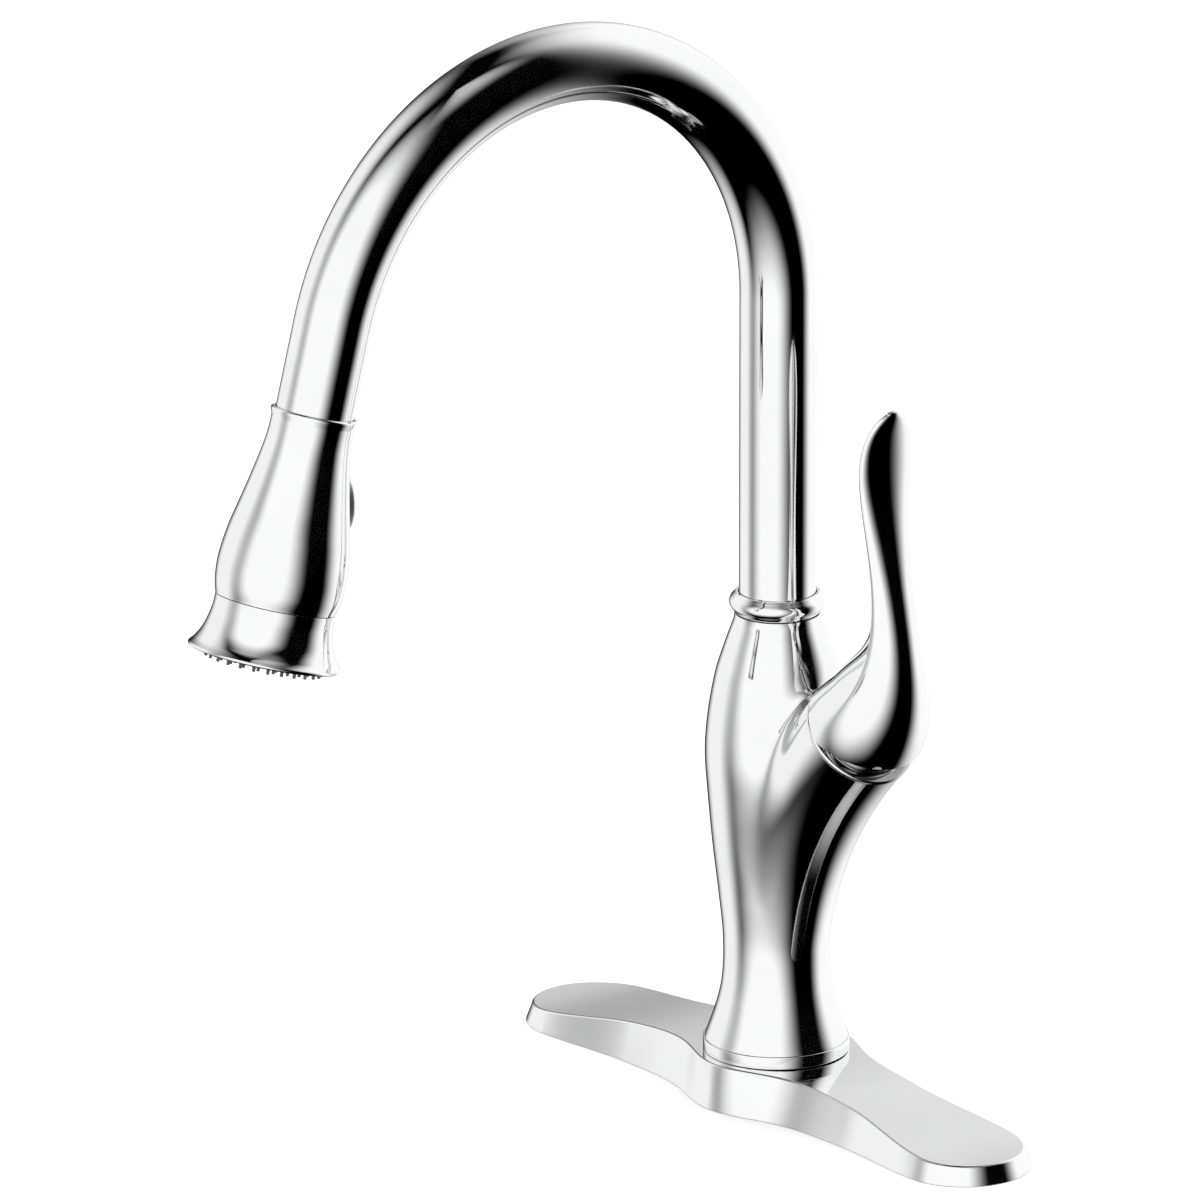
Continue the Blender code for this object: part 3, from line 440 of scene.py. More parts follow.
def loftedMesh(name, rings, closed=False):
    bm = bmesh.new()
    loops = [[bm.verts.new(point) for point in ring] for ring in rings]
    spans = list(zip(loops, loops[1:]))
    if closed:
        spans.append((loops[-1], loops[0]))
    for first, second in spans:
        bridgeRings(bm, first, second)
    if not closed:
        bm.faces.new(loops[0])
        bm.faces.new(loops[-1])
    return toMesh(bm, name)


def circleAt(centre, along, radius, sides, side=Vector((1.0, 0.0, 0.0))):
    turn = frameAlong(centre, along, side)
    return [turn @ Vector((radius * math.cos(math.tau * i / sides),
                           radius * math.sin(math.tau * i / sides), 0.0)) for i in range(sides)]


def cutAway(piece, cutters):
    # take the cutter meshes out of a piece, and keep only the result
    for sheet, matrix in cutters:
        tool = bpy.data.objects.new("cutter", sheet)
        bpy.context.scene.collection.objects.link(tool)
        tool.matrix_world = matrix
        cut = piece.modifiers.new("cut", "BOOLEAN")
        cut.operation = "DIFFERENCE"
        cut.solver = "EXACT"
        cut.object = tool
        bpy.context.view_layer.update()
        graph = bpy.context.evaluated_depsgraph_get()
        done = bpy.data.meshes.new_from_object(piece.evaluated_get(graph))
        piece.modifiers.remove(cut)
        piece.data = done
        bpy.data.objects.remove(tool, do_unlink=True)


def rodMesh(radius, low, high, segments=96):
    return turnedMesh("rod", [(0.0, high), (radius, high), (radius, low), (0.0, low)], segments)


def blockMesh(size, centre=(0.0, 0.0, 0.0)):
    bm = bmesh.new()
    place = Matrix.Translation(centre) @ Matrix.Diagonal((*size, 1.0))
    bmesh.ops.create_cube(bm, size=1.0, matrix=place)
    return toMesh(bm, "block")


def evenedOut(values, half):
    # a weighted moving average, which evens out a curve's bends for a mirror finish
    weights = np.hanning(2 * half + 1) / np.hanning(2 * half + 1).sum()
    return np.convolve(np.pad(values, half, "reflect", reflect_type="odd"), weights, "valid")


# Deck plate and the ring that the body stands on

plate = {
    "halfLength": 129.5 * mm, "lobeRadius": 24.6 * mm, "waist": 21.5 * mm, "middle": 32.0 * mm,
    "middleSpread": 24.0 * mm, "endHeight": 6.8 * mm, "middleHeight": 17.0 * mm,
    "slopeEnd": 2.1 * mm, "slopeWaist": 3.7 * mm, "slopeMiddle": 1.5 * mm,
    "wall": 2.4 * mm, "hole": 17.6 * mm, "edge": 1.1 * mm,
    "edgeDrop": 0.8,                          # how deep the rounded edge is, as a share of its width
    "lobeFrom": 0.58, "lobeOver": 0.42,       # where each lobe starts to widen, and over how much
    "flatEnd": 4.5 * mm, "slopePower": 1.4,
    "stations": 110, "turnSteps": 26, "edgeSteps": 6,
}
baseRing = {"radius": 26.7 * mm, "height": 4.2 * mm, "bore": 17.4 * mm, "edge": 0.35 * mm}


def plateOutline(size, insetMiddle, insetWaist, insetEnd):
    lobe = size["lobeRadius"] - insetEnd
    lobeCentre = size["halfLength"] - size["lobeRadius"]
    waist, middle = size["waist"] - insetWaist, size["middle"] - insetMiddle
    front = []
    for k in range(-size["stations"], size["stations"] + 1):
        x = lobeCentre * k / size["stations"]
        swell = math.exp(-(x / size["middleSpread"]) ** 2)
        intoLobe = smoothStep((abs(x) / lobeCentre - size["lobeFrom"]) / size["lobeOver"])
        front.append((x, waist + (middle - waist) * swell + (lobe - waist) * intoLobe))
    right = []
    for k in range(1, size["turnSteps"] * 2):
        turn = math.pi / 2 - math.pi * k / (size["turnSteps"] * 2)
        right.append((lobeCentre + lobe * math.cos(turn), lobe * math.sin(turn)))
    half = front + right
    return half + [(-x, -y) for x, y in half]


def plateHeight(size, x):
    share = min(1.0, (abs(x) / (size["halfLength"] - size["flatEnd"])) ** size["slopePower"])
    rise = size["middleHeight"] - size["endHeight"]
    return size["endHeight"] + rise * (0.5 + 0.5 * math.cos(math.pi * share))


def fillAcross(bm, loop):
    # close a plate loop with strips across its width
    count = len(loop)
    half = count // 2
    start = loop.index(min(loop, key=lambda v: v.co.x))
    walk = [loop[(start + k) % count] for k in range(count)]
    for k in range(half):
        corners = []
        for vertex in (walk[k], walk[k + 1], walk[-k - 1], walk[-k] if k else walk[0]):
            if vertex not in corners:
                corners.append(vertex)
        if len(corners) > 2:
            bm.faces.new(corners)


def makePlate(size):
    slopes = (size["slopeMiddle"], size["slopeWaist"], size["slopeEnd"])
    rings = []
    for k in range(size["edgeSteps"] + 1):
        turn = 0.5 * math.pi * k / size["edgeSteps"]    # round over from the top into the side
        inset = size["edge"] * (1.0 - math.sin(turn))
        drop = size["edge"] * (1.0 - math.cos(turn)) * size["edgeDrop"]
        rings.append([(x, y, plateHeight(size, x) - drop)
                      for x, y in plateOutline(size, *[s + inset for s in slopes])])
    for share in (0.5, 0.92):               # down the slanted side
        rings.append([(x, y, (plateHeight(size, x) - size["edgeDrop"] * size["edge"]) * (1.0 - share))
                      for x, y in plateOutline(size, *[s * (1.0 - share) for s in slopes])])
    rings.append([(x, y, 0.0) for x, y in plateOutline(size, 0.0, 0.0, 0.0)])
    wall = size["wall"]
    rings.append([(x, y, 0.0) for x, y in plateOutline(size, wall, wall, wall)])
    rings.append([(x, y, plateHeight(size, x) - wall)
                  for x, y in plateOutline(size, *[s + wall for s in slopes])])
    bm = bmesh.new()
    loops = [[bm.verts.new(point) for point in ring] for ring in rings]
    for first, second in zip(loops, loops[1:]):
        bridgeRings(bm, first, second)
    fillAcross(bm, loops[0])
    fillAcross(bm, loops[-1])
    made = addPiece(toMesh(bm, "deckPlate"), "polishedChrome", sharp=30.0)
    cutAway(made, [(rodMesh(size["hole"], -5 * mm, 30 * mm), Matrix.Identity(4))])
    steady = made.modifiers.new("steadyShading", "WEIGHTED_NORMAL")
    steady.keep_sharp = True
    standIn(made, "faucet", "deck_plate")


def makeBaseRing(size, low):
    high = low + size["height"] + 0.24 * mm     # the joints above and below are hairlines
    low -= 0.2 * mm
    outline = roundCorners([(size["bore"], high), (size["radius"], high), (size["radius"], low),
                            (size["bore"], low)], size["edge"], 6)
    addPiece(turnedMesh("baseRing", outline), "polishedChrome", "faucet", "base_ring")


baseBottom = plate["middleHeight"] + gap
bodyBottom = baseBottom + baseRing["height"] + gap
makePlate(plate)
makeBaseRing(baseRing, baseBottom)
print("deck plate and base ring are made")

# Spout: riser, arch and straight outlet, with the ball collar at its foot

spout = {
    "radius": 14.0 * mm, "wall": 1.4 * mm, "archRadius": 104.2 * mm, "archCentre": 302.6 * mm,
    "lean": math.radians(15.2), "outlet": 33.5 * mm, "edge": 0.4 * mm, "bodyTop": 183.0 * mm,
    "sides": 112, "riserSteps": 24, "archSteps": 150, "outletSteps": 8,
}
collar = {"radius": 17.5 * mm, "height": 7.6 * mm}
outletDirection = Vector((0.0, -math.sin(spout["lean"]), -math.cos(spout["lean"])))
archEnd = Vector((0.0, -spout["archRadius"] * (1.0 + math.cos(spout["lean"])),
                  spout["archCentre"] + spout["archRadius"] * math.sin(spout["lean"])))
lipPoint = archEnd + outletDirection * (spout["outlet"] - 2.0 * mm)
headFrame = frameAlong(lipPoint, outletDirection, Vector((1.0, 0.0, 0.0)))


def archPoint(turn):
    return Vector((0.0, -spout["archRadius"] * (1 - math.cos(turn)),
                   spout["archCentre"] + spout["archRadius"] * math.sin(turn)))


def spoutLine():
    start = spout["bodyTop"] + 2 * gap + 1.0 * mm
    up = Vector((0.0, 0.0, 1.0))
    riser = spout["archCentre"] - start
    line = [(Vector((0.0, 0.0, start + riser * k / spout["riserSteps"])), up)
            for k in range(spout["riserSteps"] + 1)]
    sweep = math.pi - spout["lean"]
    for k in range(1, spout["archSteps"] + 1):
        turn = sweep * k / spout["archSteps"]
        line.append((archPoint(turn), Vector((0.0, -math.sin(turn), math.cos(turn)))))
    for k in range(1, spout["outletSteps"] + 1):
        out = spout["outlet"] * k / spout["outletSteps"]
        line.append((archEnd + outletDirection * out, outletDirection.copy()))
    return line


def makeSpout(size):
    line = spoutLine()
    edge = size["edge"]
    bore = size["radius"] - size["wall"]
    outer, inner = [], []
    for i, (point, way) in enumerate(line):
        last = i in (0, len(line) - 1)
        outer.append(circleAt(point, way, size["radius"] - (edge if last else 0.0), size["sides"]))
        if last:
            inward = way * (edge if i == 0 else -edge)
            rim = circleAt(point + inward, way, size["radius"], size["sides"])
            outer.insert(len(outer) if i == 0 else len(outer) - 1, rim)
        inner.append(circleAt(point, way, bore, size["sides"]))
    addPiece(loftedMesh("gooseneckSpout", outer + inner[::-1], closed=True),
             "polishedChrome", "spout", "gooseneck_spout")


def makeCollar(size):
    low = spout["bodyTop"] + gap
    high, bulge = low + size["height"], size["radius"]
    inner = spout["radius"] + gap
    bead = throughPoints([
        (inner + 0.9 * mm, high), (bulge - 1.5 * mm, high - 0.9 * mm),
        (bulge - 0.3 * mm, high - 2.4 * mm), (bulge, high - 3.9 * mm),
        (bulge - 0.4 * mm, high - 5.3 * mm), (bulge - 1.7 * mm, low + 0.6 * mm),
        (bulge - 2.2 * mm, low)], 8)
    addPiece(turnedMesh("spoutCollar", [(inner, high)] + bead + [(inner, low)]),
             "polishedChrome", "spout", "spout_collar")


makeSpout(spout)
makeCollar(collar)
print("spout and collar are made")

# Body: a turned vase and a slanted valve branch, run together in one smooth skin

body = {
    "top": spout["bodyTop"], "neck": 15.6 * mm, "shoulder": 26.2 * mm, "shoulderHeight": 130.0 * mm,
    "waist": 19.5 * mm, "foot": 26.1 * mm, "lowerBore": 16.8 * mm, "upperBore": 11.3 * mm,
    "branchAngle": math.radians(45.0), "branchFoot": 102.0 * mm, "branchLength": 65.0 * mm,
    "branchRadius": 21.3 * mm, "branchBore": 16.5 * mm, "spineFoot": 42.0 * mm, "spineKnee": 3.0 * mm,
    "fillet": 11.0 * mm,            # how softly the branch runs into the vase at the crotch
    "creaseFillet": 0.8 * mm,       # and below, where it grows out of the vase
    "filletFrom": 0.30, "filletOver": 0.42,     # shares of the branch's spine
    "voxel": 1.5 * mm,
}
branchDirection = Vector((math.cos(body["branchAngle"]), 0.0, math.sin(body["branchAngle"])))
branchFoot = Vector((0.0, 0.0, body["branchFoot"]))
branchFrame = frameAlong(branchFoot, branchDirection)
spineStart = Vector((0.0, 0.0, body["spineFoot"]))
spineKnee = branchFoot + branchDirection * body["spineKnee"]
spineTip = branchFoot + branchDirection * body["branchLength"]


def vasePoints(size, low):
    rise, top = size["shoulderHeight"] - low, size["top"]
    return [
        (size["neck"], top), (size["neck"] + 0.1 * mm, top - 2.2 * mm),
        (17.3 * mm, top - 6.5 * mm), (20.2 * mm, top - 15.0 * mm),
        (22.8 * mm, top - 24.0 * mm), (25.3 * mm, top - 39.0 * mm),
        (size["shoulder"], size["shoulderHeight"]), (25.2 * mm, low + 0.86 * rise),
        (23.4 * mm, low + 0.68 * rise), (21.2 * mm, low + 0.51 * rise),
        (size["waist"], low + 0.35 * rise), (size["waist"] + 0.3 * mm, low + 0.21 * rise),
        (22.0 * mm, low + 0.11 * rise), (size["foot"], low),
    ]


vaseCurve = np.array(throughPoints(vasePoints(body, bodyBottom), 60))[::-1]
levels = np.linspace(bodyBottom, body["top"], 1500)
vaseRadii = evenedOut(np.interp(levels, vaseCurve[:, 1], vaseCurve[:, 0]), 30)
vaseSlopes = np.gradient(vaseRadii, levels)


def spineRadius(t):
    t = np.clip(t, 0.0, 1.0)
    low = body["waist"] - 1.5 * mm
    return low + (body["branchRadius"] - low) * t * t * (3.0 - 2.0 * t)


def skinDistance(points):
    # distance of points outside (+) or inside (-) the finished skin
    across = np.hypot(points[:, 0], points[:, 1])
    slope = np.interp(points[:, 2], levels, vaseSlopes)
    vase = (across - np.interp(points[:, 2], levels, vaseRadii)) / np.sqrt(1.0 + slope * slope)
    # the nearest place on the branch's curved spine: a coarse search, then a few exact steps
    a, b, c = (np.array(v) for v in (spineStart, spineKnee, spineTip))
    linear, square = 2.0 * (b - a), a - 2.0 * b + c
    t = np.linspace(0.0, 1.15, 47)
    places = a + linear * t[:, None] + square * (t * t)[:, None]
    best = t[((points[:, None, :] - places[None]) ** 2).sum(2).argmin(1)]
    for _ in range(5):
        offset = a + linear * best[:, None] + square * (best * best)[:, None] - points
        speed = linear + 2.0 * square * best[:, None]
        turn = (speed * speed).sum(1) + 2.0 * (offset @ square)
        best = np.clip(best - (offset * speed).sum(1) / np.maximum(turn, 1e-9), 0.0, 1.2)
    offset = a + linear * best[:, None] + square * (best * best)[:, None] - points
    branch = np.sqrt((offset ** 2).sum(1)) - spineRadius(best)
    share = np.clip((best - body["filletFrom"]) / body["filletOver"], 0.0, 1.0)
    widening = body["fillet"] - body["creaseFillet"]
    soft = body["creaseFillet"] + widening * share * share * (3.0 - 2.0 * share)
    near = np.maximum(soft - np.abs(vase - branch), 0.0) / soft
    return np.minimum(vase, branch) - near ** 3 * soft / 6.0


def skinNormals(points, step=0.25 * mm):
    slopes = []
    for axis in range(3):
        shift = np.zeros(3)
        shift[axis] = step
        slopes.append((skinDistance(points + shift) - skinDistance(points - shift)) / (2.0 * step))
    normals = np.stack(slopes, 1)
    return normals / np.maximum(np.linalg.norm(normals, axis=1), 1e-9)[:, None]


def pointsOf(sheet):
    flat = np.zeros(len(sheet.vertices) * 3)
    sheet.vertices.foreach_get("co", flat)
    return flat.reshape(-1, 3)


def roughBody():
    # vase and branch overlap, and a voxel skin joins them
    outline = [(r, z) for z, r in zip(levels[::-12], vaseRadii[::-12])]
    over = 6.0 * mm
    outline = [(0.0, body["top"] + over), (body["neck"], body["top"] + over)] + outline
    outline += [(body["foot"], bodyBottom - over), (0.0, bodyBottom - over)]
    bm = bmesh.new()
    bm.from_mesh(turnedMesh("vase", outline, 96))
    rings = []
    for k in range(41):
        t = 1.1 * k / 40
        centre = spineStart * (1 - t) ** 2 + spineKnee * (2 * t * (1 - t)) + spineTip * t ** 2
        along = (spineKnee - spineStart) * (1 - t) + (spineTip - spineKnee) * t
        rings.append(circleAt(centre, along, float(spineRadius(t)), 72, Vector((0.0, 1.0, 0.0))))
    bm.from_mesh(loftedMesh("branch", rings))
    sheet = bpy.data.meshes.new("roughBody")
    bm.to_mesh(sheet)
    bm.free()
    rough = bpy.data.objects.new("roughBody", sheet)
    bpy.context.scene.collection.objects.link(rough)
    skin = rough.modifiers.new("skin", "REMESH")
    skin.mode = "VOXEL"
    skin.voxel_size = body["voxel"]
    bpy.context.view_layer.update()
    graph = bpy.context.evaluated_depsgraph_get()
    joined = bpy.data.meshes.new_from_object(rough.evaluated_get(graph))
    bpy.data.objects.remove(rough, do_unlink=True)
    return joined


def settleOnSkin(sheet, rounds=8):
    points = pointsOf(sheet)
    for _ in range(rounds):
        reach = np.clip(skinDistance(points), -0.8 * mm, 0.8 * mm)
        points -= reach[:, None] * skinNormals(points)
    sheet.vertices.foreach_set("co", points.ravel())
    sheet.update()


def trueNormals(sheet):
    # faces that lie on the skin take its exact normals, cut faces stay flat
    points = pointsOf(sheet)
    onSkin = np.abs(skinDistance(points)) < 0.06 * mm
    normals = skinNormals(points)
    corners = []
    for face in sheet.polygons:
        smooth = all(onSkin[v] for v in face.vertices) and \
            sum(normals[v] @ np.array(face.normal) for v in face.vertices) > 0.7 * len(face.vertices)
        corners += [tuple(normals[v]) if smooth else tuple(face.normal) for v in face.vertices]
    sheet.normals_split_custom_set(corners)


def sliceOff(bm, faces, place, outward):
    edges = dict.fromkeys(edge for face in faces for edge in face.edges)
    corners = dict.fromkeys(vertex for face in faces for vertex in face.verts)
    bmesh.ops.bisect_plane(bm, geom=[*faces, *edges, *corners], plane_co=place, plane_no=outward,
                           clear_outer=True)
    rims = [edge for edge in bm.edges if edge.is_boundary]
    bmesh.ops.holes_fill(bm, edges=rims, sides=0)


def nearBranchEnd(face):
    away = face.calc_center_median() - branchFoot
    return (away.cross(branchDirection).length < 1.35 * body["branchRadius"]
            and away.dot(branchDirection) > 0.7 * body["branchLength"])


def makeBody():
    sheet = roughBody()
    settleOnSkin(sheet)
    bm = bmesh.new()
    bm.from_mesh(sheet)
    sliceOff(bm, bm.faces[:], (0.0, 0.0, body["top"]), (0.0, 0.0, 1.0))
    sliceOff(bm, bm.faces[:], (0.0, 0.0, bodyBottom), (0.0, 0.0, -1.0))
    # the slanted cut keeps off the neck
    sliceOff(bm, [face for face in bm.faces if nearBranchEnd(face)], spineTip, branchDirection)
    made = addPiece(toMesh(bm, "faucetBody"), "polishedChrome")
    cavity = turnedMesh("cavity", [
        (0.0, body["top"] + 5 * mm), (body["upperBore"], body["top"] + 5 * mm),
        (body["upperBore"], body["top"] - 17 * mm), (19.0 * mm, body["shoulderHeight"] + 12 * mm),
        (20.5 * mm, body["shoulderHeight"] - 8 * mm), (body["lowerBore"], 84.0 * mm),
        (body["lowerBore"], bodyBottom - 5 * mm), (0.0, bodyBottom - 5 * mm)], 64)
    bore = rodMesh(body["branchBore"], 17.0 * mm, body["branchLength"] + 8 * mm, 64)
    cutAway(made, [(cavity, Matrix.Identity(4)), (bore, branchFrame)])
    made.data.shade_smooth()
    trueNormals(made.data)
    standIn(made, "faucet", "faucet_body")


makeBody()
print("body is made")

# Dome and thin ring under the lever

domeAndRing = {
    "dome": 17.6 * mm, "domeWall": 1.6 * mm, "domeSteps": 30,
    "domeOpening": math.radians(36.0), "domeEnd": math.radians(91.0),
    "ringRadius": body["branchRadius"] + 0.6 * mm, "ringHeight": 1.9 * mm, "ringEdge": 0.5 * mm,
    "pivotAlong": 66.0 * mm,
}
pivotPoint = branchFoot + branchDirection * domeAndRing["pivotAlong"]
pivotFrame = frameAlong(pivotPoint, branchDirection)


def makeDomeAndRing(size):
    low, steps = body["branchLength"] + gap, size["domeSteps"]
    outer, inner = size["dome"], size["dome"] - size["domeWall"]
    sweep = size["domeEnd"] - size["domeOpening"]
    turns = [size["domeOpening"] + sweep * k / steps for k in range(steps + 1)]
    arc = [(outer * math.sin(t), size["pivotAlong"] + outer * math.cos(t)) for t in turns]
    back = [(inner * math.sin(t), size["pivotAlong"] + inner * math.cos(t)) for t in turns[-2::-1]]
    addPiece(turnedMesh("domeBonnet", arc + [(outer, low), (inner, low)] + back),
             "polishedChrome", "faucet", "bonnet", branchFrame)
    high, ring, edge = low + size["ringHeight"], size["ringRadius"], size["ringEdge"]
    outline = roundCorners([(outer + gap, high), (ring - edge, high), (ring, high - edge),
                            (ring, low + edge), (ring - edge, low), (outer + gap, low)], edge, 4)
    addPiece(turnedMesh("trimRing", outline), "polishedChrome", "faucet", "trim_ring", branchFrame)


makeDomeAndRing(domeAndRing)

# Lever: a cast hub that sweeps up into a thin curved blade

lever = {
    "hub": body["branchRadius"] + 0.5 * mm, "lift": math.radians(20.0),
    "sides": 104, "steps": 12, "tipSteps": 6, "sharp": 27.0,
    "stemWidth": 7.0 * mm, "stemThick": 4.8 * mm, "stemLength": 25.0 * mm,
    # centre x and z, tilt, half width, outer depth, column-side depth, how flat the column side is
    "sections": [
        (51.5, 154.0, 47.0, 21.7, 21.9, 21.2, 0.55), (55.4, 159.5, 52.0, 20.6, 20.2, 19.8, 0.65),
        (59.0, 165.8, 59.0, 18.4, 17.6, 18.6, 0.75), (61.8, 173.0, 68.0, 15.4, 14.4, 16.2, 0.85),
        (63.3, 181.0, 77.0, 12.6, 11.4, 12.2, 0.95), (63.9, 190.0, 85.0, 10.6, 8.9, 7.6, 1.0),
        (63.8, 199.0, 90.0, 9.6, 7.0, 4.8, 1.0), (63.0, 209.0, 94.0, 9.2, 5.6, 3.6, 1.0),
        (61.8, 219.5, 96.0, 9.6, 4.8, 3.0, 1.0), (60.5, 230.0, 96.0, 10.4, 4.3, 2.6, 0.95),
        (59.4, 241.0, 93.0, 11.4, 3.9, 2.4, 0.9), (59.2, 251.0, 87.0, 12.1, 3.7, 2.3, 0.8),
        (60.0, 260.0, 80.0, 11.4, 3.4, 2.1, 0.7), (61.6, 266.6, 74.0, 9.4, 2.9, 1.8, 0.6),
        (63.2, 270.8, 70.0, 6.4, 2.2, 1.4, 0.55), (64.1, 272.9, 68.0, 3.0, 1.3, 0.9, 0.5),
    ],
}


def leverRing(section, sides):
    x, z, slope, halfWidth, outer, inner, flatness = section
    along = Vector((math.cos(math.radians(slope)), 0.0, math.sin(math.radians(slope))))
    outward = Vector((along.z, 0.0, -along.x))
    centre = Vector((x * mm, 0.0, z * mm))
    ring = []
    for i in range(sides):
        turn = math.tau * i / sides
        across = math.sin(turn)
        if math.cos(turn) > 1e-6:
            depth = outer * math.cos(turn)
        else:
            depth = -inner * max(0.0, 1.0 - across * across) ** flatness
        ring.append(centre + outward * (depth * mm) + Vector((0.0, halfWidth * mm * across, 0.0)))
    return ring


def makeLever(size):
    seat = body["branchLength"] + 2 * gap + domeAndRing["ringHeight"]
    start = branchFoot + branchDirection * seat
    hub = size["hub"] / mm
    sections = [(start.x / mm, start.z / mm, 45.0, hub, hub, hub, 0.5)] + size["sections"]
    rows = np.array(throughPoints(sections, size["steps"]))
    even = np.stack([evenedOut(column, size["steps"]) for column in rows.T], 1)
    dense = [tuple(row) for row in even]
    last = dense[-1]
    tilt = math.radians(last[2])
    for k in range(1, size["tipSteps"] + 1):        # round the tip off
        turn = 0.5 * math.pi * k / size["tipSteps"]
        small, reach = max(math.cos(turn), 0.04), 0.9 * math.sin(turn)
        dense.append((last[0] + reach * math.cos(tilt), last[1] + reach * math.sin(tilt), last[2],
                      last[3] * small, last[4] * small, last[5] * small, last[6]))
    blade = loftedMesh("leverHandle", [leverRing(section, size["sides"]) for section in dense])
    made = addPiece(blade, "polishedChrome", sharp=size["sharp"])
    bm = bmesh.new()
    bmesh.ops.create_uvsphere(bm, u_segments=96, v_segments=64, radius=domeAndRing["dome"] + 0.4 * mm)
    cup = toMesh(bm, "cup")
    trimTop = seat - gap - domeAndRing["pivotAlong"]
    lift = Matrix.Translation((0.0, 0.0, trimTop + gap)) @ Matrix.Rotation(
        -(size["lift"] + math.radians(1.5)), 4, "Y")
    relief = blockMesh((60 * mm, 60 * mm, 40 * mm), (30 * mm, 0.0, -20 * mm))
    socket = blockMesh((size["stemWidth"] + 2 * gap, size["stemThick"] + 2 * gap, 20 * mm),
                       (0.0, 0.0, size["stemLength"] + gap - 10 * mm))
    hole = rodMesh(2.2 * mm, 0.0, 40 * mm, 32)
    across = Matrix.Translation((0.0, 0.0, 21.0 * mm)) @ Matrix.Rotation(math.radians(-90.0), 4, "X")
    cutAway(made, [(cup, pivotFrame), (relief, pivotFrame @ lift), (socket, pivotFrame),
                   (hole, pivotFrame @ across)])
    made.data.shade_smooth()
    made.data.set_sharp_from_angle(angle=math.radians(size["sharp"]))
    standIn(made, "lever", "lever_handle")


makeLever(lever)
print("lever, dome and trim ring are made")

# Spray head: a flared shell, a bell-mouthed foot, the spray face and a mode button

head = {
    "lip": 15.6 * mm, "lipHeight": 1.9 * mm, "lipEdge": 0.5 * mm, "neck": 14.9 * mm,
    "belly": 23.3 * mm, "bellyAt": 58.0 * mm, "seam": 21.6 * mm, "seamAt": 69.5 * mm,
    "rim": 27.7 * mm, "length": 89.5 * mm, "wall": 1.9 * mm, "segments": 160,
}
sprayFace = {
    "radius": 23.0 * mm, "low": 84.8 * mm, "high": 87.0 * mm, "edge": 0.4 * mm,
    "nozzle": 0.75 * mm, "standOut": 3.4 * mm, "matThickness": 1.5 * mm,
    "rings": ((20.9 * mm, 26), (17.4 * mm, 20), (12.8 * mm, 10)),     # radius, and how many nozzles
}
aerator = {
    "radius": 8.0 * mm, "screen": 87.4 * mm, "grooveFloor": 87.0 * mm, "rim": 88.4 * mm,
    "bottom": 76.3 * mm, "ringsFrom": 0.7 * mm, "ringPitch": 0.75 * mm, "rings": 6,
}
modeButton = {
    "at": 36.0 * mm, "tilt": math.radians(13.0), "halfLength": 12.0 * mm, "halfWidth": 7.5 * mm,
    "foot": 14.2 * mm, "top": 24.2 * mm, "pillow": 3.0 * mm, "pillowSteps": 18,
}


def oval(halfWidth, halfLength, height, sides=72):
    turns = [math.tau * i / sides for i in range(sides)]
    return [(halfWidth * math.cos(turn), halfLength * math.sin(turn), height) for turn in turns]


def buttonFrame(size):
    # the button faces the column side, square to the shell there
    outward = Vector((math.cos(size["tilt"]), 0.0, -math.sin(size["tilt"])))
    along = Vector((math.sin(size["tilt"]), 0.0, math.cos(size["tilt"])))
    turn = Matrix((along.cross(outward), along, outward)).transposed().to_4x4()
    return headFrame @ Matrix.Translation((0.0, 0.0, size["at"])) @ turn


def makeSprayShell(size):
    waist = throughPoints([
        (size["neck"], size["lipHeight"] + 1.4 * mm), (size["neck"] + 0.1 * mm, 8.0 * mm),
        (15.6 * mm, 13.5 * mm), (17.2 * mm, 22.5 * mm), (19.5 * mm, 33.5 * mm), (22.0 * mm, 45.0 * mm),
        (size["belly"], size["bellyAt"] - 2.0 * mm),
        (size["belly"] - 0.4 * mm, size["bellyAt"] + 6.0 * mm),
        (size["seam"] + 0.1 * mm, size["seamAt"] - gap)], 12)
    edge = size["lipEdge"]
    lip = roundCorners([(size["lip"] - edge, 0.0), (size["lip"], edge),
                        (size["lip"], size["lipHeight"] - edge), waist[0]], edge, 4, closed=False)
    seamBore, dockBore = size["seam"] - size["wall"], spout["radius"] + gap
    inside = [(seamBore, size["seamAt"] - gap), (seamBore, 62.0 * mm),
              (size["belly"] - 2.4 * mm, 55.0 * mm), (17.0 * mm, 33.0 * mm), (13.2 * mm, 16.0 * mm),
              (12.3 * mm, 10.0 * mm), (12.3 * mm, 3.0 * mm), (dockBore, 3.0 * mm), (dockBore, 0.0)]
    sheet = turnedMesh("sprayShell", lip + waist[1:] + inside, size["segments"])
    made = addPiece(sheet, "polishedChrome", matrix=headFrame)
    half, long = modeButton["halfWidth"] + gap, modeButton["halfLength"] + gap
    well = loftedMesh("well", [oval(half, long, height) for height in (8.0 * mm, 30.0 * mm)])
    cutAway(made, [(well, buttonFrame(modeButton))])
    standIn(made, "spray_head", "spray_shell")


def makeSprayBell(size):
    rim, seam = size["rim"], size["seam"]
    outside = throughPoints([
        (seam, size["seamAt"]), (seam + 0.2 * mm, size["seamAt"] + 5.0 * mm), (23.4 * mm, 81.4 * mm),
        (25.6 * mm, 85.8 * mm), (rim - 0.2 * mm, size["length"] - 1.4 * mm)], 14)
    faceBore = sprayFace["radius"] + gap
    end = size["length"]
    mouth = roundCorners([outside[-1], (rim, end - 0.6 * mm), (rim - 1.0 * mm, end),
                          (rim - 2.4 * mm, end - 0.6 * mm), (faceBore, 84.5 * mm)],
                         size["lipEdge"], 4, closed=False)
    inside = [(faceBore, 82.0 * mm), (seam - size["wall"], 79.0 * mm),
              (seam - size["wall"], size["seamAt"])]
    addPiece(turnedMesh("sprayBell", outside + mouth[1:] + inside, size["segments"]),
             "polishedChrome", "spray_head", "spray_bell", headFrame)


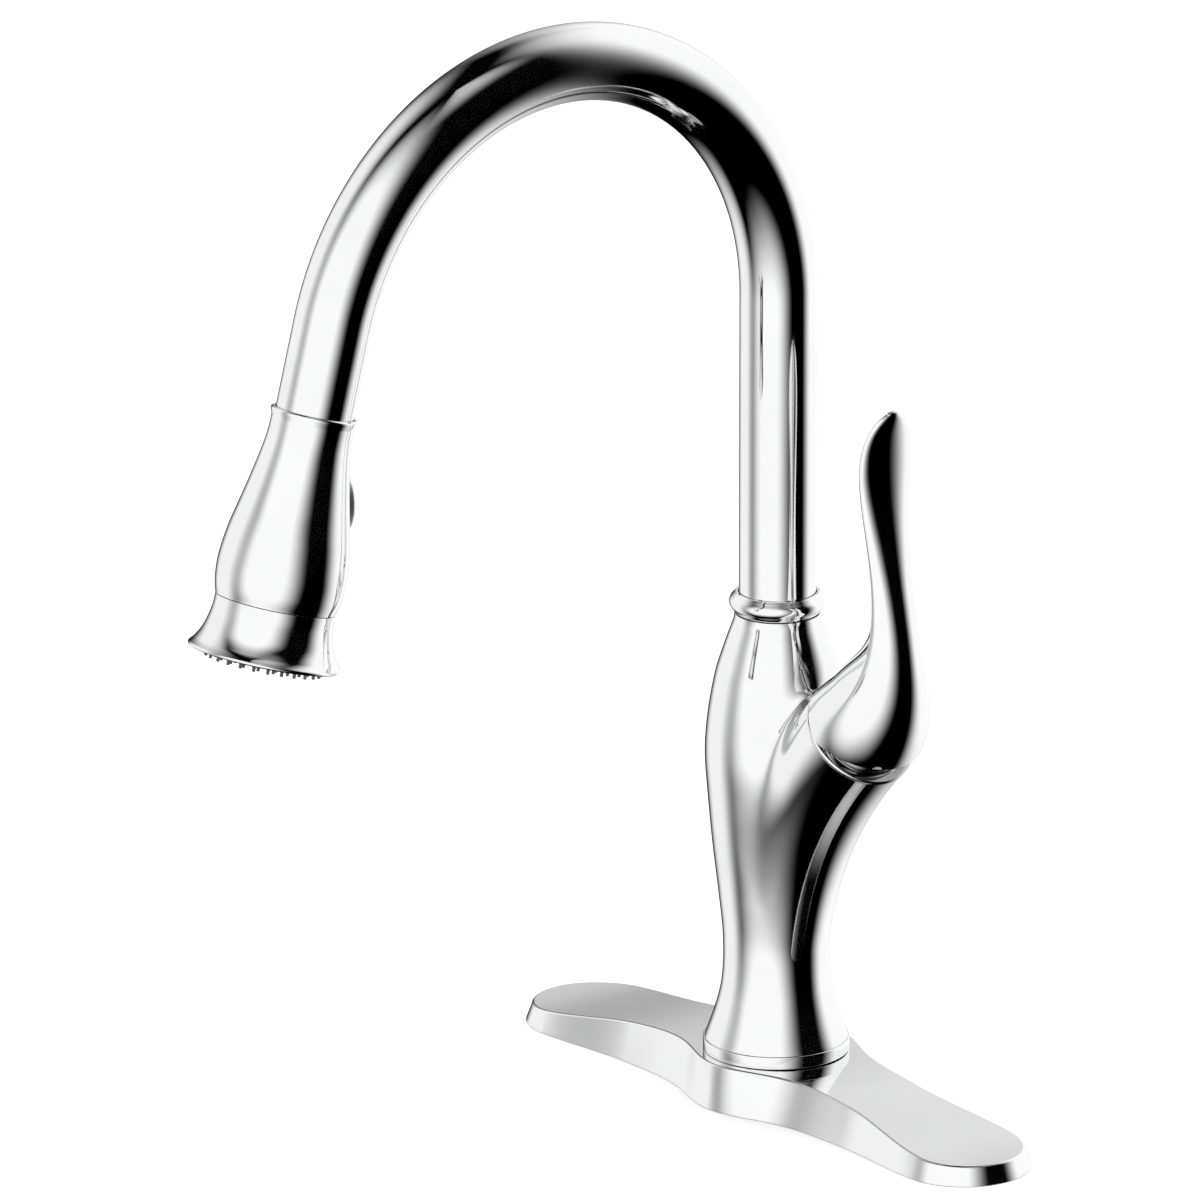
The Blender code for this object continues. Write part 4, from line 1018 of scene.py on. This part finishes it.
def makeSprayFace(size):
    low, high, bore = size["low"], size["high"], aerator["radius"] + gap
    steps = [(bore, high)]
    for ring, count in reversed(size["rings"]):       # a low land under each ring of nozzles
        steps += [(ring - 1.5 * mm, high), (ring - 1.3 * mm, high + 0.25 * mm),
                  (ring + 1.3 * mm, high + 0.25 * mm), (ring + 1.5 * mm, high)]
    steps += [(size["radius"] - size["edge"], high), (size["radius"], high - size["edge"]),
              (size["radius"], low), (bore, low)]
    addPiece(turnedMesh("sprayFaceDisc", steps, 120), "blackPlastic", "spray_head", "spray_face",
             headFrame)


def makeNozzleMat(size):
    low, high, bore = size["low"], size["high"], aerator["radius"] + gap
    rim, back = size["radius"] - 0.9 * mm, low - gap - size["matThickness"]
    bm = bmesh.new()
    sheetOutline = [(bore, low - gap), (rim, low - gap), (rim, back), (bore, back)]
    bm.from_mesh(turnedMesh("mat", sheetOutline, 96))
    end = head["length"] + size["standOut"] - 1.0 * mm
    root, tip = size["nozzle"], size["nozzle"] * 0.8
    nub = [(0.0, end), (tip * 0.45, end),
           (tip * 0.5, end - 0.25 * mm), (tip * 0.62, end), (tip, end - 0.15 * mm),
           (root, high + 0.9 * mm), (root + 0.35 * mm, high + 0.45 * mm),
           (root + 0.45 * mm, high + 0.2 * mm), (root, low - 0.9 * mm), (0.0, low - 0.9 * mm)]
    for ring, (radius, count) in enumerate(size["rings"]):
        for k in range(count):
            turn = math.tau * (k + 0.5 * (ring % 2)) / count
            peg = turnedMesh("peg", nub, 20)
            peg.transform(Matrix.Translation((radius * math.cos(turn), radius * math.sin(turn), 0.0)))
            bm.from_mesh(peg)
    sheet = bpy.data.meshes.new("nozzleMat")
    bm.to_mesh(sheet)
    bm.free()
    addPiece(sheet, "greySilicone", "spray_head", "nozzle_mat", headFrame)


def makeAerator(size):
    screen, groove, rim = size["screen"], size["grooveFloor"], size["radius"]
    grille = [(0.0, screen)]
    for k in range(size["rings"]):                     # fine rings of the flow straightener
        at = size["ringsFrom"] + size["ringPitch"] * k
        grille += [(at, screen), (at + 0.1 * mm, groove), (at + 0.35 * mm, groove),
                   (at + 0.45 * mm, screen)]
    grille += [(5.4 * mm, screen), (5.5 * mm, 88.2 * mm), (5.8 * mm, size["rim"]),
               (rim - 0.3 * mm, size["rim"]), (rim, 88.1 * mm), (rim, size["bottom"]),
               (0.0, size["bottom"])]
    addPiece(turnedMesh("aeratorInsert", grille, 96), "brushedSteel", "spray_head", "aerator",
             headFrame)


def makeButton(size):
    half, long, pillow = size["halfWidth"] - gap, size["halfLength"] - gap, size["pillow"]
    brim, steps = size["top"] - pillow, size["pillowSteps"]
    rings = [oval(half, long, size["foot"]), oval(half, long, brim)]
    for k in range(1, steps + 1):       # a soft pillow top
        turn = 0.5 * math.pi * k / steps
        shrink = max(math.cos(turn) ** 0.7, 0.015)
        rings.append(oval(half * shrink, long * shrink, brim + pillow * math.sin(turn)))
    addPiece(loftedMesh("modeButton", rings), "polishedChrome", "button", "mode_button",
             buttonFrame(size), sharp=50.0)


buttonSpring = {
    "wire": 0.35 * mm, "coil": 2.4 * mm, "turns": 3, "perTurn": 28,
    "seat": 9.0 * mm, "travel": 1.6 * mm,
}


def makeButtonSpring(size, button):
    low = size["seat"] + gap + size["wire"]
    high = button["foot"] - gap - size["wire"]
    rise = (high - low) / (size["turns"] * math.tau * size["coil"])
    count = size["turns"] * size["perTurn"]
    rings = []
    for k in range(count + 1):
        turn = math.tau * k / size["perTurn"]
        centre = Vector((size["coil"] * math.cos(turn), size["coil"] * math.sin(turn),
                         low + (high - low) * k / count))
        along = Vector((-math.sin(turn), math.cos(turn), rise))
        rings.append(circleAt(centre, along, size["wire"], 12, Vector((0.0, 0.0, 1.0))))
    frameOfButton = buttonFrame(button)
    made = addPiece(loftedMesh("buttonSpring", rings), "brushedSteel", "spray_head", "button_spring",
                    frameOfButton)
    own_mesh(made)


makeSprayShell(head)
makeSprayBell(head)
makeSprayFace(sprayFace)
makeNozzleMat(sprayFace)
makeAerator(aerator)
makeButton(modeButton)
makeButtonSpring(buttonSpring, modeButton)
print("spray head is made")

# Threaded shank under the counter

shank = {
    "radius": 16.5 * mm, "bore": 14.9 * mm, "bottom": -62.0 * mm, "top": bodyBottom + 18.0 * mm,
    "threadTop": 14.0 * mm, "pitch": 2.0 * mm, "depth": 0.7 * mm, "sides": 72, "perTurn": 8,
    "flankSteepness": 1.6, "crestWidth": 0.3,
}


def makeShank(size):
    rings = []
    turns = [-math.tau * i / size["sides"] for i in range(size["sides"])]
    count = int((size["threadTop"] - size["bottom"]) / size["pitch"] * size["perTurn"])
    for k in range(count + 1):
        z = size["bottom"] + (size["threadTop"] - size["bottom"]) * k / count
        runOut = min(1.0, min(z - size["bottom"], size["threadTop"] - z) / size["pitch"])
        ring = []
        for i, turn in enumerate(turns):
            phase = (z / size["pitch"] + i / size["sides"]) % 1.0
            flank = size["flankSteepness"] * abs(2.0 * phase - 1.0) - size["crestWidth"]
            radius = size["radius"] - size["depth"] * (smoothStep(flank) * runOut)
            ring.append((radius * math.cos(turn), radius * math.sin(turn), z))
        rings.append(ring)
    for radius, z in ((size["radius"], size["top"]), (size["bore"], size["top"]),
                      (size["bore"], size["bottom"])):
        rings.append([(radius * math.cos(turn), radius * math.sin(turn), z) for turn in turns])
    addPiece(loftedMesh("threadedShank", rings, closed=True), "turnedBrass", "faucet",
             "threaded_shank", sharp=50.0)


makeShank(shank)

# Braided spray hose: up the shank, round the arch and a little way into the outlet, with its braid
# laid out for when the spray head is pulled

hose = {
    "radius": 6.2 * mm, "sides": 48, "foot": -56.0 * mm, "step": 4.0 * mm,
    "slackBefore": 36.0 * mm,      # where, before the arch ends, the hose starts to travel
    "payTilt": 23.5,               # below the horizontal, so that nothing in the riser travels
    "insideOutlet": 10.0 * mm, "travel": 190.0 * mm,
    "strands": 16.0, "pitch": 7.5 * mm, "archSteps": 84, "paidSteps": 80, "endSteps": 30,
}
braid = {
    "dark": (0.035, 0.036, 0.040), "light": (0.22, 0.225, 0.235), "gloss": (0.38, 0.62),
    "grain": 260.0, "sheen": 0.15, "bump": 0.6, "depth": 0.0004,
}


def makeBraid(look):
    made = bpy.data.materials.new("nylonBraid")
    made.use_nodes = True
    tree = made.node_tree
    shader = tree.nodes["Principled BSDF"]
    lay = tree.nodes.new("ShaderNodeUVMap")
    axes = tree.nodes.new("ShaderNodeSeparateXYZ")
    tree.links.new(lay.outputs[0], axes.inputs[0])
    strands = []
    for hand in (1.0, -1.0):        # two sets of strands, wound opposite ways
        sweep = wiredMath(tree, "MULTIPLY_ADD", axes.outputs[1], hand, axes.outputs[0])
        strands.append(wiredMath(tree, "SINE", wiredMath(tree, "MULTIPLY", sweep, math.tau)))
    over = wiredMath(tree, "MULTIPLY", *strands)
    crown = wiredMath(tree, "MAXIMUM", *[wiredMath(tree, "ABSOLUTE", strand) for strand in strands])
    height = wiredMath(tree, "MULTIPLY_ADD", over, 0.25, crown)
    grime = noiseOn(tree, look["grain"], 5.0)
    # the colour follows the random tone and the weave's height: the strands' crowns are lighter and
    # the gaps between them darker, which is painted shade in the weave's recesses
    weaveShadeAndTone = wiredMath(tree, "MULTIPLY_ADD", grime, 0.5, wiredMath(tree, "MULTIPLY", height, 0.5))
    tree.links.new(tintBetween(tree, weaveShadeAndTone, look["dark"], look["light"]), shader.inputs["Base Color"])
    tree.links.new(spanOf(tree, grime, *look["gloss"]), shader.inputs["Roughness"])
    shader.inputs["Sheen Weight"].default_value = look["sheen"]
    addBump(tree, shader, height, look["bump"], look["depth"])
    return made


finishOf["nylonBraid"] = makeBraid(braid)


def hoseLine(size):
    # up the riser, round the arch, and a little way into the outlet
    places = []
    z = size["foot"]
    while z < spout["archCentre"] - 1.0 * mm:
        places.append(Vector((0.0, 0.0, z)))
        z += size["step"]
    sweep = math.pi - spout["lean"]
    turnBack = size["slackBefore"] / spout["archRadius"]
    coarse, fine, last = size["archSteps"], size["paidSteps"], size["endSteps"]
    places += [archPoint((sweep - turnBack) * k / coarse) for k in range(coarse)]
    # close rings where the hose is paid out
    places += [archPoint(sweep - turnBack * (1.0 - k / fine)) for k in range(fine)]
    places += [archEnd + outletDirection * (size["insideOutlet"] * k / last) for k in range(last + 1)]
    return places, archPoint(sweep - turnBack)


def makeHose(size):
    places, start = hoseLine(size)
    tilt = math.radians(size["payTilt"])
    payAxis = Vector((0.0, -math.cos(tilt), -math.sin(tilt)))
    reach = (places[-1] - start).dot(payAxis) - size["radius"]      # the last ring travels as a whole
    rings, lengths, length = [], [], 0.0
    for k, place in enumerate(places):
        before, after = places[max(k - 1, 0)], places[min(k + 1, len(places) - 1)]
        rings.append(circleAt(place, after - before, size["radius"], size["sides"]))
        length += (place - before).length
        lengths.append(length)
    bm = bmesh.new()
    mapped = bm.loops.layers.uv.new("braidLay")
    loops = [[bm.verts.new(point) for point in ring] for ring in rings]
    count = size["sides"]
    for k, (first, second) in enumerate(zip(loops, loops[1:])):
        for i in range(count):
            j = (i + 1) % count
            lays = ((first[i], i, k), (first[j], i + 1, k),
                    (second[j], i + 1, k + 1), (second[i], i, k + 1))
            face = bm.faces.new([vertex for vertex, turn, station in lays])
            for corner, (vertex, turn, station) in zip(face.loops, lays):
                # laid out by the hose's length when pulled, so that the braid is even there
                paid = size["travel"] * smoothStep((vertex.co - start).dot(payAxis) / reach)
                corner[mapped].uv = (turn / count * size["strands"] / 2,
                                     (lengths[station] + paid) / size["pitch"])
    bm.faces.new(loops[0])
    bm.faces.new(loops[-1])
    bmesh.ops.recalc_face_normals(bm, faces=bm.faces[:])
    sheet = bpy.data.meshes.new("sprayHose")
    bm.to_mesh(sheet)
    bm.free()
    made = addPiece(sheet, "nylonBraid", None, "spray_hose")
    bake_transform(made)


makeHose(hose)
print("shank and hose are made")
